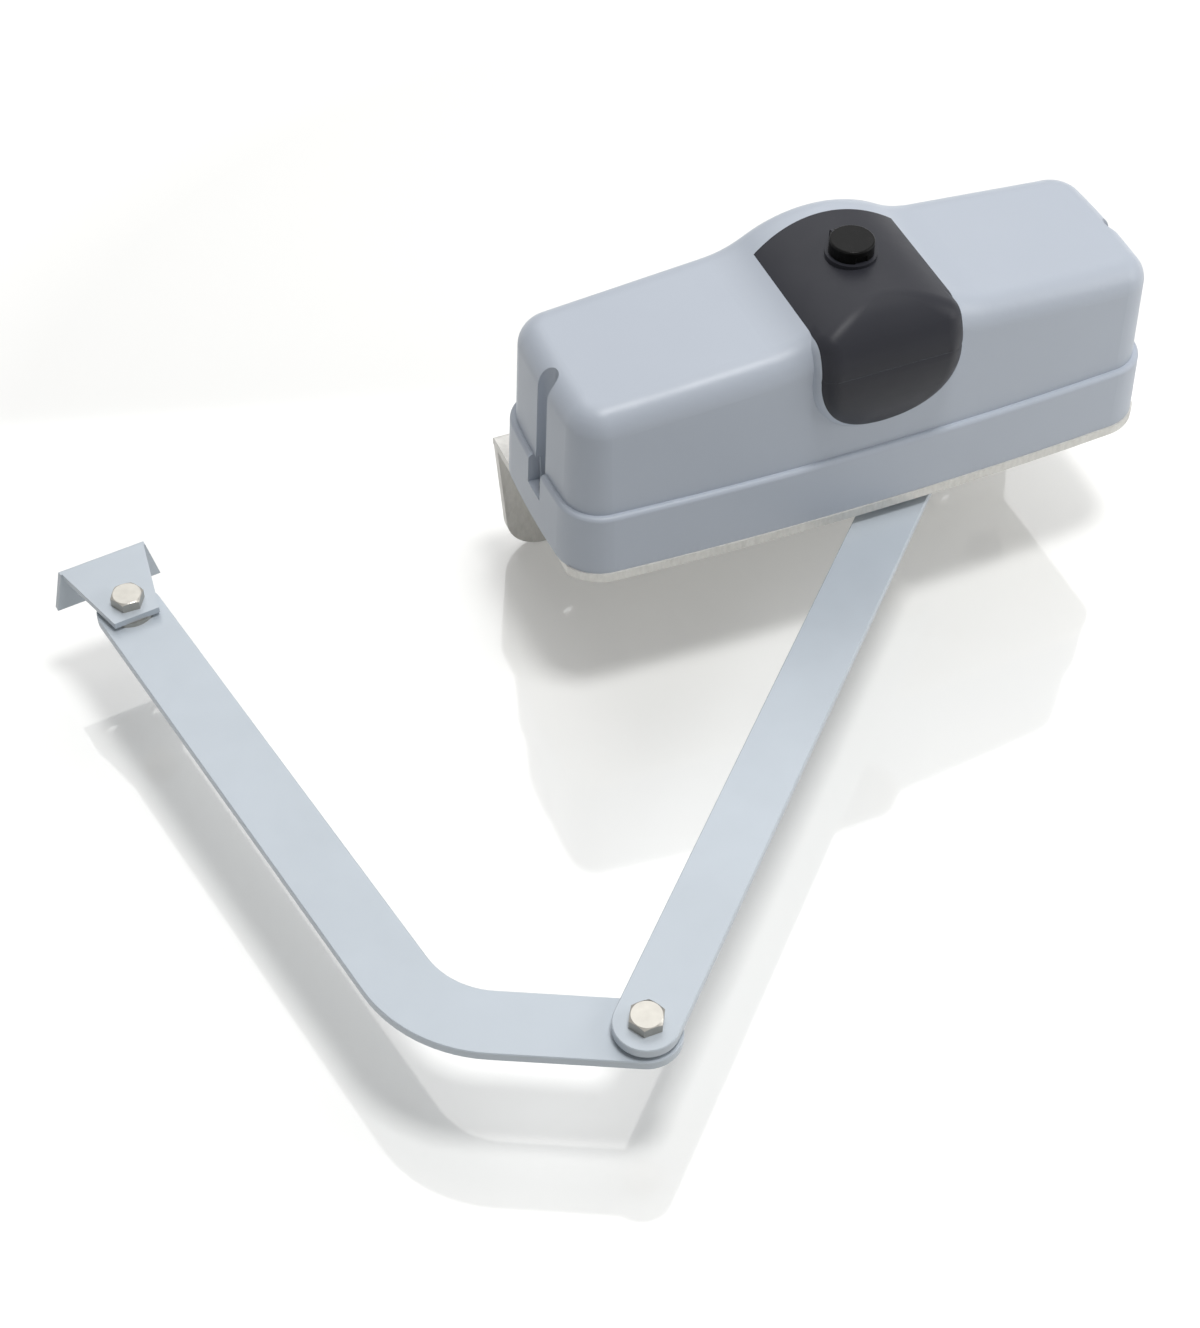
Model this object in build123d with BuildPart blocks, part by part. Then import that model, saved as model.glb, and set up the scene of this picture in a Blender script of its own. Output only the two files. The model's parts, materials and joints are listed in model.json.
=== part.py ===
from build123d import *
from math import acos, atan2, cos, degrees, pi, radians, sin, sqrt, tan
import os

os.makedirs("parts", exist_ok=True)

# Articulated arm opener for a swing gate, in millimetres.
# The origin is the middle of the four wall holes, on the rear face of the bracket's flange.
# +Y points into the wall, +Z is up, and +X runs along the housing. The arms hang out to the left.

# Wall bracket, a folded plate that carries everything
plate_thickness = 6.0
plate_top = 50.0
plate_lip = 1.0
bracket_inset = 3.5
flange_bottom = -45.0
flange_taper = 7.0
flange_corner_radius = 26.0
bend_radius = 1.0
bend_outer_radius = 3.0
wall_hole_spacing_x = 280.0
wall_hole_spacing_z = 55.0
wall_hole_diameter = 11.0

# Housing, a drafted lower shell and a cover with a central hump
housing_length = 381.0
housing_front = -139.6
housing_back = -11.0
front_bow = 7.0
end_bow = 3.0
housing_corner_radius = 28.0
draft_angle = 2.1
base_height = 41.0
base_wall = 3.5
base_floor = 3.0
rim_radius = 2.6
rim_depth = 8.5
rim_thickness = 5.0
cover_inset = 5.0
cover_wall = 3.0
cover_edge_radius = 16.0
hump_x = 3.0
ridge_z = 175.6
wing_fall_angle = 5.3
hump_top = 189.6
hump_radius = 83.0
hump_blend_radius = 55.0
nose_reach = 8.0
nose_roll_radius = 35.0
nose_half_width = 47.0
nose_bottom = 102.0
nose_edge_radius = 14.0
seal_width = 2.0
seal_depth = 2.0

# Screwdriver channels at the two ends of the cover, and the notches under them
channel_radius = 7.0
channel_inset = 9.5
channel_y = -76.0
channel_wall = 2.5
foot_thickness = 3.0
notch_floor_z = 71.0
notch_width = 18.0
notch_edge_radius = 1.0

# Dark centre panel that runs over the hump and down the front, and the cap on it
panel_thickness = 1.0
panel_half_width = 44.0
panel_tongue_z = 153.5
panel_back_y = -45.0
panel_back_bow = 6.0
boss_radius = 15.0
boss_height = 2.0
cap_radius = 13.0
cap_height = 8.0
cap_gap = 0.3
cap_pin_diameter = 2.0
ear_width = 2.0
lug_width = 6.0

# Arms
arm_thickness = 6.0
drive_arm_width = 35.0
drive_arm_top = 37.6
elbow_x = -265.0
elbow_y = -417.0
output_y = -79.5
curved_arm_width = 38.0
curved_arm_bend_radius = 65.0
arm_corner_x = -363.2
arm_corner_y = -368.0
gate_x = -425.6
gate_y = -36.9
arm_chamfer = 0.5
arm_washer_thickness = 2.1

# Gate bracket, a folded plate that widens all the way down
gate_turn = 6.8
gate_plate_thickness = 4.0
gate_washer_thickness = 2.5
gate_tip_reach = 13.2
gate_bend_reach = 42.4
gate_tip_width = 27.2
gate_bend_width = 52.4
gate_flange_height = 27.0
gate_bend_outer_radius = 2.0
gate_hole_spacing = 30.0
gate_hole_drop = 18.7
gate_hole_diameter = 8.5

# Pivot hardware
bolt_diameter = 10.0
bolt_flats = 17.0
bolt_head_height = 6.4
nut_height = 10.0
bush_diameter = 14.0
wide_washer_diameter = 30.0
small_washer_diameter = 20.0
small_washer_thickness = 2.0
running_clearance = 0.05
thread_stub = 2.0

# Gear train: worm and wheel, then a spur pair that turns the output shaft
release_x = hump_x
release_y = -79.0
gear_module = 2.0
pinion_teeth = 26
output_teeth = 42
gear_width = 14.0
gear_bottom = 64.0
worm_module = 1.5
worm_wheel_teeth = 30
worm_pitch_radius = 7.5
worm_z = 94.0
worm_length = 30.0
wheel_width = 12.0
pressure_angle = 20.0
backlash = 0.25
case_wall = 4.0
case_floor = 6.0
case_gap = 1.5
case_top = 110.0
lid_thickness = 5.0
output_shaft_diameter = 20.0
output_square = 14.0
pinion_shaft_diameter = 12.0
worm_shaft_diameter = 8.0
output_bearing = (42.0, 12.0)
pinion_bearing = (28.0, 8.0)
worm_bearing = (22.0, 7.0)
seal_ring = (35.0, 6.0)
spigot_diameter = 48.0
spigot_clearance = 0.3
gearhead_diameter = 48.0
gearhead_length = 34.0
motor_diameter = 54.0
motor_length = 72.0
end_cap_length = 12.0

well_radius = 8.0
ear_reach = 2.5
ear_radius = 2.0
cap_edge_radius = 1.2
lid_boss_radius = 5.5
case_screw_reach = 10.0
cover_screw_reach = 12.0
guide_height = 17.0
key_rod_diameter = 6.0
lid_screw_diameter = 4.0
arm_screw_diameter = 8.0
arm_screw_reach = 20.0
gear_hub_wall = 6.0
gear_hole_radius = 7.0
clutch_travel = 4.3
clutch_bar_width = 4.0
clutch_bar_length = 24.0
gearhead_shaft_reach = 18.0
key_head_height = 2.0
pusher_height = 2.5
tab_width = 3.0
tab_reach = 2.5
key_disc_height = 7.0
key_shaft_diameter = 10.0
key_head_length = 12.0
ridge_half_width = 2.5
magnet_diameter = 14.0
magnet_height = 3.0
sensor_board_length = 50.0
sensor_board_width = 34.0
board_thickness = 1.6
board_inset = 47.0
board_y = -92.0
board_length = 34.0
board_width = 60.0
board_post_height = 8.0
terminal_pitch = 5.0
gland_flats = 22.0
gland_flange = 5.0
gland_bore = 9.0
lid_screw_reach = 12.0
shield_recess = 0.6
shield_width = 4.0
case_bolt_radius = 36.0
case_screw_diameter = 6.0
base_screw_diameter = 5.0
base_screw_inset = 22.5
base_screw_y = -28.0
cover_screw_diameter = 5.0
screw_clearance = 0.3
gland_inset = 40.5
gland_y = -45.0
gland_thread = 16.0

lid_screw_angles_output = (-40, 35, 95)
lid_screw_angles_wheel = (180, 255)

# Places that follow from the sizes above
output_pitch_radius = gear_module * output_teeth / 2
output_tip_radius = output_pitch_radius + gear_module
pinion_tip_radius = gear_module * pinion_teeth / 2 + gear_module
notch_y = channel_y + 1
channel_x = housing_length / 2 - channel_inset
board_x = housing_length / 2 - board_inset
gland_x = housing_length / 2 - gland_inset
base_screw_spacing = housing_length - 2 * base_screw_inset
bracket_length = housing_length - 2 * bracket_inset
pocket_depth = 14.0
seam_z = plate_top + base_height
plate_bottom = plate_top - plate_thickness
centre_distance = gear_module * (pinion_teeth + output_teeth) / 2
output_x = release_x + sqrt(centre_distance**2 - (output_y - release_y) ** 2)
wheel_pitch_radius = worm_module * worm_wheel_teeth / 2
wheel_tip_radius = wheel_pitch_radius + worm_module
inner_end_radius = max(wheel_tip_radius, pinion_tip_radius)
worm_y = release_y + wheel_pitch_radius + worm_pitch_radius
worm_lead = pi * worm_module
drive_arm_bottom = drive_arm_top - arm_thickness
curved_arm_top = drive_arm_bottom - arm_washer_thickness
curved_arm_bottom = curved_arm_top - arm_thickness
gate_plate_bottom = curved_arm_top + gate_washer_thickness
gate_plate_top = gate_plate_bottom + gate_plate_thickness


def finish(sub_part, name):
    """Name a finished piece and write it to its own file."""
    sub_part.part.label = name
    export_step(sub_part.part, f"parts/{name}.step")


def housing_outline(inset):
    """Plan of the housing: a long box with bowed front and ends and round corners."""
    half = housing_length / 2 - inset
    front = housing_front + inset
    back = housing_back - inset
    middle = (front + back) / 2
    with BuildSketch() as outline:
        with BuildLine():
            ThreePointArc((end_bow - half, front + front_bow), (0, front), (half - end_bow, front + front_bow))
            ThreePointArc((half - end_bow, front + front_bow), (half, middle), (half - end_bow, back))
            Line((half - end_bow, back), (end_bow - half, back))
            ThreePointArc((end_bow - half, back), (-half, middle), (end_bow - half, front + front_bow))
        make_face()
        fillet(outline.vertices(), housing_corner_radius - inset)
    return outline.sketch


def hump_profile(skin):
    """Front view of the cover's top: two falling wings and a round hump, blended together."""
    reach = housing_length / 2 + 20
    wing_end = ridge_z - reach * tan(radians(wing_fall_angle)) - skin
    with BuildSketch() as profile:
        with BuildLine():
            Polyline(
                (-reach, 0), (reach, 0), (reach, wing_end), (hump_x, ridge_z - skin), (-reach, wing_end), close=True
            )
        make_face()
        with Locations((hump_x, hump_top - skin - hump_radius)):
            Circle(hump_radius)
        shoulders = profile.vertices().filter_by(lambda v: abs(v.X - hump_x) < hump_radius and v.Y > seam_z)
        fillet(shoulders, hump_blend_radius)
    return profile.sketch


def cover_form(skin):
    """The cover's outer form, or with a skin above 0 the hollow under a wall of that thickness."""
    sky = hump_top + 20
    crest = hump_top - skin + 1
    roll_radius = nose_roll_radius - skin
    front = housing_front + cover_inset - nose_reach + skin
    half = nose_half_width - skin
    floor = nose_bottom + skin
    with BuildPart() as nose:
        with BuildSketch(Plane.XZ):
            with BuildLine():
                Line((hump_x - half, sky), (hump_x + half, sky))
                Line((hump_x + half, sky), (hump_x + half, floor + half))
                ThreePointArc((hump_x + half, floor + half), (hump_x, floor), (hump_x - half, floor + half))
                Line((hump_x - half, floor + half), (hump_x - half, sky))
            make_face()
        extrude(amount=-2 * housing_front)
        with BuildSketch(Plane.YZ.offset(hump_x)):
            with BuildLine():
                roll = CenterArc((front + roll_radius, crest - roll_radius), roll_radius, 90, 90)
                belly = ThreePointArc(roll @ 1, (front + 2, floor + 0.6 * half), (front + nose_reach + 4, floor))
                Polyline(belly @ 1, (release_y, floor), (release_y, crest), roll @ 0)
            make_face()
        extrude(amount=2 * half, both=True, mode=Mode.INTERSECT)
        with BuildSketch(Plane.XZ):
            add(hump_profile(skin))
        extrude(amount=-2 * housing_front, both=True, mode=Mode.INTERSECT)
        outer = nose.edges().filter_by(lambda e: e.bounding_box().min.Y < release_y - 5)
        fillet(outer, nose_edge_radius - skin)
    with BuildPart() as form:
        with BuildSketch(Plane.XY.offset(seam_z)):
            add(housing_outline(cover_inset + skin))
        extrude(amount=sky - seam_z, taper=draft_angle)
        with BuildSketch(Plane.XZ):
            add(hump_profile(skin))
        extrude(amount=-2 * housing_front, both=True, mode=Mode.INTERSECT)
        crown = form.faces().filter_by(lambda face: face.normal_at().Z > 0.7).edges()
        walls = form.faces().filter_by(lambda face: abs(face.normal_at().Z) < 0.5).edges()
        fillet([edge for edge in crown if edge in walls], cover_edge_radius - skin)
        with BuildSketch(Plane.XY.offset(floor + half)):
            with Locations((hump_x, release_y - 10)):
                Rectangle(2 * (half - nose_edge_radius), 4 * cover_edge_radius, align=(Align.CENTER, Align.MAX))
        extrude(amount=sky, mode=Mode.SUBTRACT)
        add(nose.part)
    return form.part


def hex_bolt(x, y, seat, tip):
    """A hex bolt with its head on the seat, its corners turned to a cone, and a plain shank."""
    corner_radius = bolt_flats / sqrt(3)
    face_radius = bolt_flats / 2 * 0.95
    bevel = (corner_radius - face_radius) * tan(radians(30))
    with BuildPart() as bolt:
        with BuildSketch(Plane((x, y, seat))):
            RegularPolygon(bolt_flats / 2, 6, major_radius=False)
        extrude(amount=bolt_head_height)
        with BuildSketch(Plane(origin=(x, y, seat), x_dir=(1, 0, 0), z_dir=(0, -1, 0))):
            Polygon(
                (0, 0),
                (corner_radius, 0),
                (corner_radius, bolt_head_height - bevel),
                (face_radius, bolt_head_height),
                (0, bolt_head_height),
                align=None,
            )
        revolve(axis=Axis((x, y, 0), (0, 0, 1)), mode=Mode.INTERSECT)
        with BuildSketch(Plane((x, y, tip))):
            Circle(bolt_diameter / 2)
        extrude(amount=seat - tip)
        chamfer(bolt.faces().sort_by(Axis.Z)[0].edges(), 1)
    return bolt.part


def lock_nut(x, y, top):
    """A hex nut with a smaller round collar that holds the locking ring."""
    collar = 3.0
    with BuildPart() as nut:
        with BuildSketch(Plane((x, y, top - nut_height + collar))):
            RegularPolygon(bolt_flats / 2, 6, major_radius=False)
        extrude(amount=nut_height - collar)
        with BuildSketch(Plane((x, y, top - nut_height))):
            Circle(bolt_flats / 2 - 1)
        extrude(amount=collar)
        with BuildSketch(Plane((x, y, top - nut_height))):
            Circle(bolt_diameter / 2 + running_clearance)
        extrude(amount=nut_height, mode=Mode.SUBTRACT)
    return nut.part


def tube(x, y, bottom, top, outer_diameter, inner_diameter):
    """An upright ring, such as a washer, bush, seal or bearing blank."""
    with BuildPart() as ring:
        with BuildSketch(Plane((x, y, bottom))):
            Circle(outer_diameter / 2)
            Circle(inner_diameter / 2, mode=Mode.SUBTRACT)
        extrude(amount=top - bottom)
    return ring.part


def ball_bearing(size, bore, plane):
    """A shielded bearing: one ring with a shallow recess in each face."""
    outer, width = size
    middle = (outer + bore) / 4
    with BuildPart() as bearing:
        with BuildSketch(plane):
            Circle(outer / 2)
            Circle(bore / 2 + running_clearance, mode=Mode.SUBTRACT)
        extrude(amount=width)
        for face_offset in (0, width - shield_recess):
            with BuildSketch(plane.offset(face_offset)):
                Circle(middle + shield_width / 2)
                Circle(middle - shield_width / 2, mode=Mode.SUBTRACT)
            extrude(amount=shield_recess, mode=Mode.SUBTRACT)
    return bearing.part


def involute(angle):
    """The involute function of a pressure angle in radians."""
    return tan(angle) - angle


def gear_outline(module, teeth, first_tooth):
    """A spur gear's outline with involute flanks. The first tooth's middle is at the given angle."""
    pitch_radius = module * teeth / 2
    base_radius = pitch_radius * cos(radians(pressure_angle))
    tip_radius = pitch_radius + module
    root_radius = pitch_radius - 1.25 * module
    start_radius = max(base_radius, root_radius)
    half_tooth = pi / (2 * teeth) - backlash / (2 * pitch_radius) + involute(radians(pressure_angle))

    def flank(side):
        points = []
        for step in range(4):
            radius = start_radius + (tip_radius - start_radius) * step / 3
            angle = side * (half_tooth - involute(acos(base_radius / radius)))
            points.append((radius * cos(angle), radius * sin(angle)))
        return points

    right, left = flank(-1), flank(1)
    foot_angle = half_tooth
    with BuildSketch() as tooth:
        with BuildLine():
            Spline(*right)
            Line(right[-1], left[-1])
            Spline(*left)
            Polyline(
                left[0],
                ((root_radius - 0.5) * cos(foot_angle), (root_radius - 0.5) * sin(foot_angle)),
                ((root_radius - 0.5) * cos(foot_angle), -(root_radius - 0.5) * sin(foot_angle)),
                right[0],
            )
        make_face()
    with BuildSketch() as outline:
        Circle(root_radius)
        with PolarLocations(0, teeth, start_angle=first_tooth):
            add(tooth.sketch)
    return outline.sketch


def case_outline(grow):
    """Plan of the gear case: a hull round the output gear and the worm wheel."""
    with BuildSketch() as outline:
        with Locations((output_x, output_y)):
            Circle(output_tip_radius + case_gap + grow)
        with Locations((release_x, release_y)):
            Circle(inner_end_radius + case_gap + grow)
        make_hull()
    return outline.sketch


def lid_boss_plan(radius):
    """Circles at the five lid screws, on the wall of the gear case."""
    output_wall = output_tip_radius + case_gap + case_wall
    wheel_wall = inner_end_radius + case_gap + case_wall
    with BuildSketch() as plan:
        for angle in lid_screw_angles_output:
            with Locations((output_x, output_y)):
                with PolarLocations(output_wall, 1, start_angle=angle):
                    Circle(radius)
        for angle in lid_screw_angles_wheel:
            with Locations((release_x, release_y)):
                with PolarLocations(wheel_wall, 1, start_angle=angle):
                    Circle(radius)
    return plan.sketch


def channel_plan(end, grow):
    """Plan of the screwdriver channel at one end of the cover: a slot with a round inner end."""
    with BuildSketch() as plan:
        with Locations((end * channel_x, channel_y)):
            Circle(channel_radius + grow)
        with Locations((end * (channel_x + 2 * channel_radius), channel_y)):
            Rectangle(4 * channel_radius, 2 * (channel_radius + grow))
    return plan.sketch


# Wall bracket: the plate follows the housing in front, and its flange is folded down behind
with BuildPart() as wall_bracket:
    with BuildSketch(Plane.XY.offset(plate_bottom)):
        add(housing_outline(-plate_lip))
        Rectangle(bracket_length, -housing_front / 2, align=(Align.CENTER, Align.MAX))
        Rectangle(bracket_length, -4 * housing_front, mode=Mode.INTERSECT)
    extrude(amount=plate_thickness)
    with BuildSketch(Plane.XZ) as drop:
        half_length = bracket_length / 2
        Polygon(
            (-half_length, plate_top),
            (half_length, plate_top),
            (half_length - flange_taper, flange_bottom),
            (flange_taper - half_length, flange_bottom),
            align=None,
        )
        fillet(drop.vertices().group_by(Axis.Y)[0], flange_corner_radius)
    extrude(amount=plate_thickness)
    outer_bend = wall_bracket.edges().filter_by(Axis.X).sort_by(lambda e: e.center().Z + e.center().Y)[-1]
    fillet(outer_bend, bend_outer_radius)
    inner_bend = wall_bracket.edges().filter_by(Axis.X).filter_by(
        lambda e: abs(e.center().Z - plate_bottom) < 0.01 and abs(e.center().Y + plate_thickness) < 0.01
    )
    fillet(inner_bend, bend_radius)
    with BuildSketch(Plane.XZ):
        with GridLocations(wall_hole_spacing_x, wall_hole_spacing_z, 2, 2):
            Circle(wall_hole_diameter / 2)
    extrude(amount=plate_thickness, mode=Mode.SUBTRACT)
    with BuildSketch(Plane.XY.offset(plate_bottom)):
        with Locations((output_x, output_y)):
            Circle(spigot_diameter / 2 + spigot_clearance)
            with PolarLocations(case_bolt_radius, 4, start_angle=45):
                Circle(case_screw_diameter / 2 + screw_clearance)
        with Locations((-base_screw_spacing / 2, base_screw_y), (base_screw_spacing / 2, base_screw_y)):
            Circle(base_screw_diameter / 2 + screw_clearance)
        with Locations((gland_x, gland_y)):
            Circle(gland_thread / 2 + screw_clearance)
    extrude(amount=plate_thickness, mode=Mode.SUBTRACT)
finish(wall_bracket, "wall_bracket")

# Lower shell of the housing: drafted walls, a thick rim that the cover stands on, and a notch at each end
with BuildPart() as base_housing:
    with BuildSketch(Plane.XY.offset(plate_top)):
        add(housing_outline(0))
    extrude(amount=base_height, taper=draft_angle)
    fillet(base_housing.faces().sort_by(Axis.Z)[-1].edges(), rim_radius)
    with BuildSketch(Plane.XY.offset(plate_top + base_floor)):
        add(housing_outline(base_wall + rim_radius / 2))
    extrude(amount=base_height - base_floor - rim_thickness, mode=Mode.SUBTRACT)
    with BuildSketch(Plane.XY.offset(seam_z - rim_thickness)):
        add(housing_outline(rim_depth))
    extrude(amount=rim_thickness, mode=Mode.SUBTRACT)
    with BuildSketch(Plane.XY.offset(plate_top)):
        add(case_outline(case_wall + case_gap))
        add(lid_boss_plan(lid_boss_radius + case_gap))
        with Locations((-base_screw_spacing / 2, base_screw_y), (base_screw_spacing / 2, base_screw_y)):
            Circle(base_screw_diameter / 2 + screw_clearance)
        with Locations((gland_x, gland_y)):
            Circle(gland_thread / 2 + screw_clearance)
    extrude(amount=base_floor, mode=Mode.SUBTRACT)
    # A closed pocket at each end, cut from the outside as the notch
    for end in (-1, 1):
        with BuildSketch(Plane.XY.offset(plate_top + base_floor)):
            with Locations((end * (channel_x - channel_radius / 2), notch_y)):
                Rectangle(2 * pocket_depth, notch_width + 2 * base_wall)
            add(housing_outline(base_wall / 2), mode=Mode.INTERSECT)
        extrude(amount=base_height - base_floor - rim_thickness / 2)
        with BuildSketch(Plane.XY.offset(notch_floor_z)):
            add(channel_plan(end, channel_wall + screw_clearance))
            add(housing_outline(cover_inset + cover_wall - screw_clearance), mode=Mode.INTERSECT)
            with Locations((end * (channel_x + pocket_depth / 2), notch_y)):
                Rectangle(3 * pocket_depth, notch_width)
        extrude(amount=base_height, mode=Mode.SUBTRACT)
        with BuildSketch(Plane.XY.offset(notch_floor_z - cover_screw_reach)):
            with Locations((end * channel_x, channel_y)):
                Circle(cover_screw_diameter / 2)
        extrude(amount=base_height, mode=Mode.SUBTRACT)
    # Groove for the seal
    with BuildSketch(Plane.XY.offset(seam_z - seal_depth)):
        add(housing_outline(cover_inset + 0.5))
        add(housing_outline(cover_inset + 0.5 + seal_width), mode=Mode.SUBTRACT)
        with Locations((0, channel_y)):
            Rectangle(2 * (channel_x - pocket_depth - base_wall), notch_width * 10, mode=Mode.INTERSECT)
    extrude(amount=seal_depth, mode=Mode.SUBTRACT)
finish(base_housing, "base_housing")

# Zone of the dark panel: straight sides over the hump, a bowed back edge and a round tongue in front
with BuildPart() as panel_zone:
    left_side = hump_x - panel_half_width
    right_side = hump_x + panel_half_width
    with BuildSketch(Plane.XY.offset(seam_z)):
        with BuildLine():
            back_edge = ThreePointArc(
                (left_side, panel_back_y), (hump_x, panel_back_y + panel_back_bow), (right_side, panel_back_y)
            )
            Polyline(back_edge @ 1, (right_side, 2 * housing_front), (left_side, 2 * housing_front), back_edge @ 0)
        make_face()
    extrude(amount=2 * hump_top)
    with BuildSketch(Plane.XZ):
        with BuildLine():
            tongue = ThreePointArc(
                (left_side, panel_tongue_z),
                (hump_x, panel_tongue_z - panel_half_width),
                (right_side, panel_tongue_z),
            )
            Polyline(tongue @ 1, (right_side, 3 * hump_top), (left_side, 3 * hump_top), tongue @ 0)
        make_face()
    extrude(amount=-3 * housing_front, both=True, mode=Mode.INTERSECT)

cover_outside = cover_form(0)
panel_underside = cover_form(panel_thickness)
with BuildPart() as cover_hollow:
    add(cover_form(cover_wall))
    with BuildSketch(Plane.XY.offset(seam_z)):
        add(channel_plan(-1, channel_wall))
        add(channel_plan(1, channel_wall))
    extrude(amount=hump_top, mode=Mode.SUBTRACT)
with BuildPart() as panel_recess:
    add(cover_outside)
    add(panel_underside, mode=Mode.SUBTRACT)
    add(panel_zone.part, mode=Mode.INTERSECT)

# Cover: one moulding with the hump, the panel's recess, and a screw foot at the bottom of each channel
with BuildPart() as top_cover:
    add(cover_outside)
    add(cover_hollow.part, mode=Mode.SUBTRACT)
    add(panel_recess.part, mode=Mode.SUBTRACT)
    for end in (-1, 1):
        with BuildSketch(Plane.XY.offset(notch_floor_z)):
            add(channel_plan(end, channel_wall))
            add(housing_outline(cover_inset + cover_wall), mode=Mode.INTERSECT)
        extrude(amount=seam_z - notch_floor_z)
        with BuildSketch(Plane.XY.offset(notch_floor_z + foot_thickness)):
            add(channel_plan(end, 0))
        extrude(amount=hump_top, mode=Mode.SUBTRACT)
    with BuildSketch(Plane.XY.offset(notch_floor_z)):
        with Locations((-channel_x, channel_y), (channel_x, channel_y)):
            Circle(cover_screw_diameter / 2 + screw_clearance)
    extrude(amount=foot_thickness, mode=Mode.SUBTRACT)
    with BuildSketch(Plane.XY.offset(seam_z + base_height)):
        with Locations((release_x, release_y)):
            Circle(well_radius + cover_wall)
    extrude(amount=hump_top, mode=Mode.SUBTRACT)
finish(top_cover, "top_cover")

# Dark panel set flush in the cover, with a raised ring and two hinge ears for the cap
boss_top = hump_top + boss_height
hinge_y = release_y + cap_radius + ear_reach
hinge_z = boss_top + cap_gap + ear_radius
with BuildPart() as centre_panel:
    add(panel_recess.part)
    with BuildSketch(Plane.XY.offset(boss_top)):
        with Locations((release_x, release_y)):
            Circle(boss_radius)
    extrude(amount=-2 * boss_height - panel_thickness)
    ear_offset = (lug_width + ear_width) / 2 + cap_gap
    with BuildSketch(Plane.YZ.offset(release_x)):
        with Locations((hinge_y, hinge_z)):
            Circle(ear_radius)
        with Locations((hinge_y, hinge_z - boss_height)):
            Rectangle(2 * ear_radius, 2 * boss_height)
    extrude(amount=ear_offset + ear_width / 2, both=True)
    with BuildSketch(Plane.YZ.offset(release_x)):
        with Locations((hinge_y, hinge_z + ear_radius)):
            Rectangle(8 * ear_radius, 2 * ear_radius + 2 * (hinge_z - boss_top))
    extrude(amount=ear_offset - ear_width / 2, both=True, mode=Mode.SUBTRACT)
    with BuildSketch(Plane.YZ.offset(release_x - lug_width)):
        with Locations((hinge_y, hinge_z)):
            Circle(cap_pin_diameter / 2)
    extrude(amount=2 * lug_width, mode=Mode.SUBTRACT)
    add(panel_underside, mode=Mode.SUBTRACT)
    with BuildSketch(Plane.XY.offset(seam_z + base_height)):
        with Locations((release_x, release_y)):
            Circle(well_radius)
    extrude(amount=hump_top, mode=Mode.SUBTRACT)
finish(centre_panel, "centre_panel")

# Weather cap over the release key, hinged at the back, with a finger notch in front
with BuildPart() as release_cap:
    with BuildSketch(Plane((release_x, release_y, boss_top + cap_gap))):
        Circle(cap_radius)
    extrude(amount=cap_height)
    fillet(release_cap.faces().sort_by(Axis.Z)[-1].edges(), cap_edge_radius)
    with BuildSketch(Plane((release_x, release_y, boss_top + cap_gap))):
        Circle(well_radius - 1)
    extrude(amount=-boss_height)
    with BuildSketch(Plane((release_x, release_y - cap_radius, boss_top + cap_gap))):
        SlotOverall(3 * cap_edge_radius + 4, 2.4)
    extrude(amount=cap_height / 2, mode=Mode.SUBTRACT)
    with BuildSketch(Plane.YZ.offset(release_x - lug_width / 2)):
        with Locations((hinge_y, hinge_z)):
            Circle(ear_radius)
        with Locations((hinge_y - ear_reach, hinge_z)):
            Rectangle(2 * ear_reach, 2 * ear_radius)
    extrude(amount=lug_width)
    with BuildSketch(Plane.YZ.offset(release_x - lug_width)):
        with Locations((hinge_y, hinge_z)):
            Circle(cap_pin_diameter / 2 + running_clearance)
    extrude(amount=2 * lug_width, mode=Mode.SUBTRACT)
finish(release_cap, "release_cap")

with BuildPart() as cap_pin:
    with BuildSketch(Plane.YZ.offset(release_x - ear_offset - ear_width / 2)):
        with Locations((hinge_y, hinge_z)):
            Circle(cap_pin_diameter / 2)
    extrude(amount=2 * ear_offset + ear_width)
finish(cap_pin, "cap_pin")

# Rubber seal in the rim's groove
with BuildPart() as cover_seal:
    with BuildSketch(Plane.XY.offset(seam_z - seal_depth)):
        add(housing_outline(cover_inset + 0.5))
        add(housing_outline(cover_inset + 0.5 + seal_width), mode=Mode.SUBTRACT)
        with Locations((0, channel_y)):
            Rectangle(2 * (channel_x - pocket_depth - base_wall), notch_width * 10, mode=Mode.INTERSECT)
    extrude(amount=seal_depth)
finish(cover_seal, "cover_seal")

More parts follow.
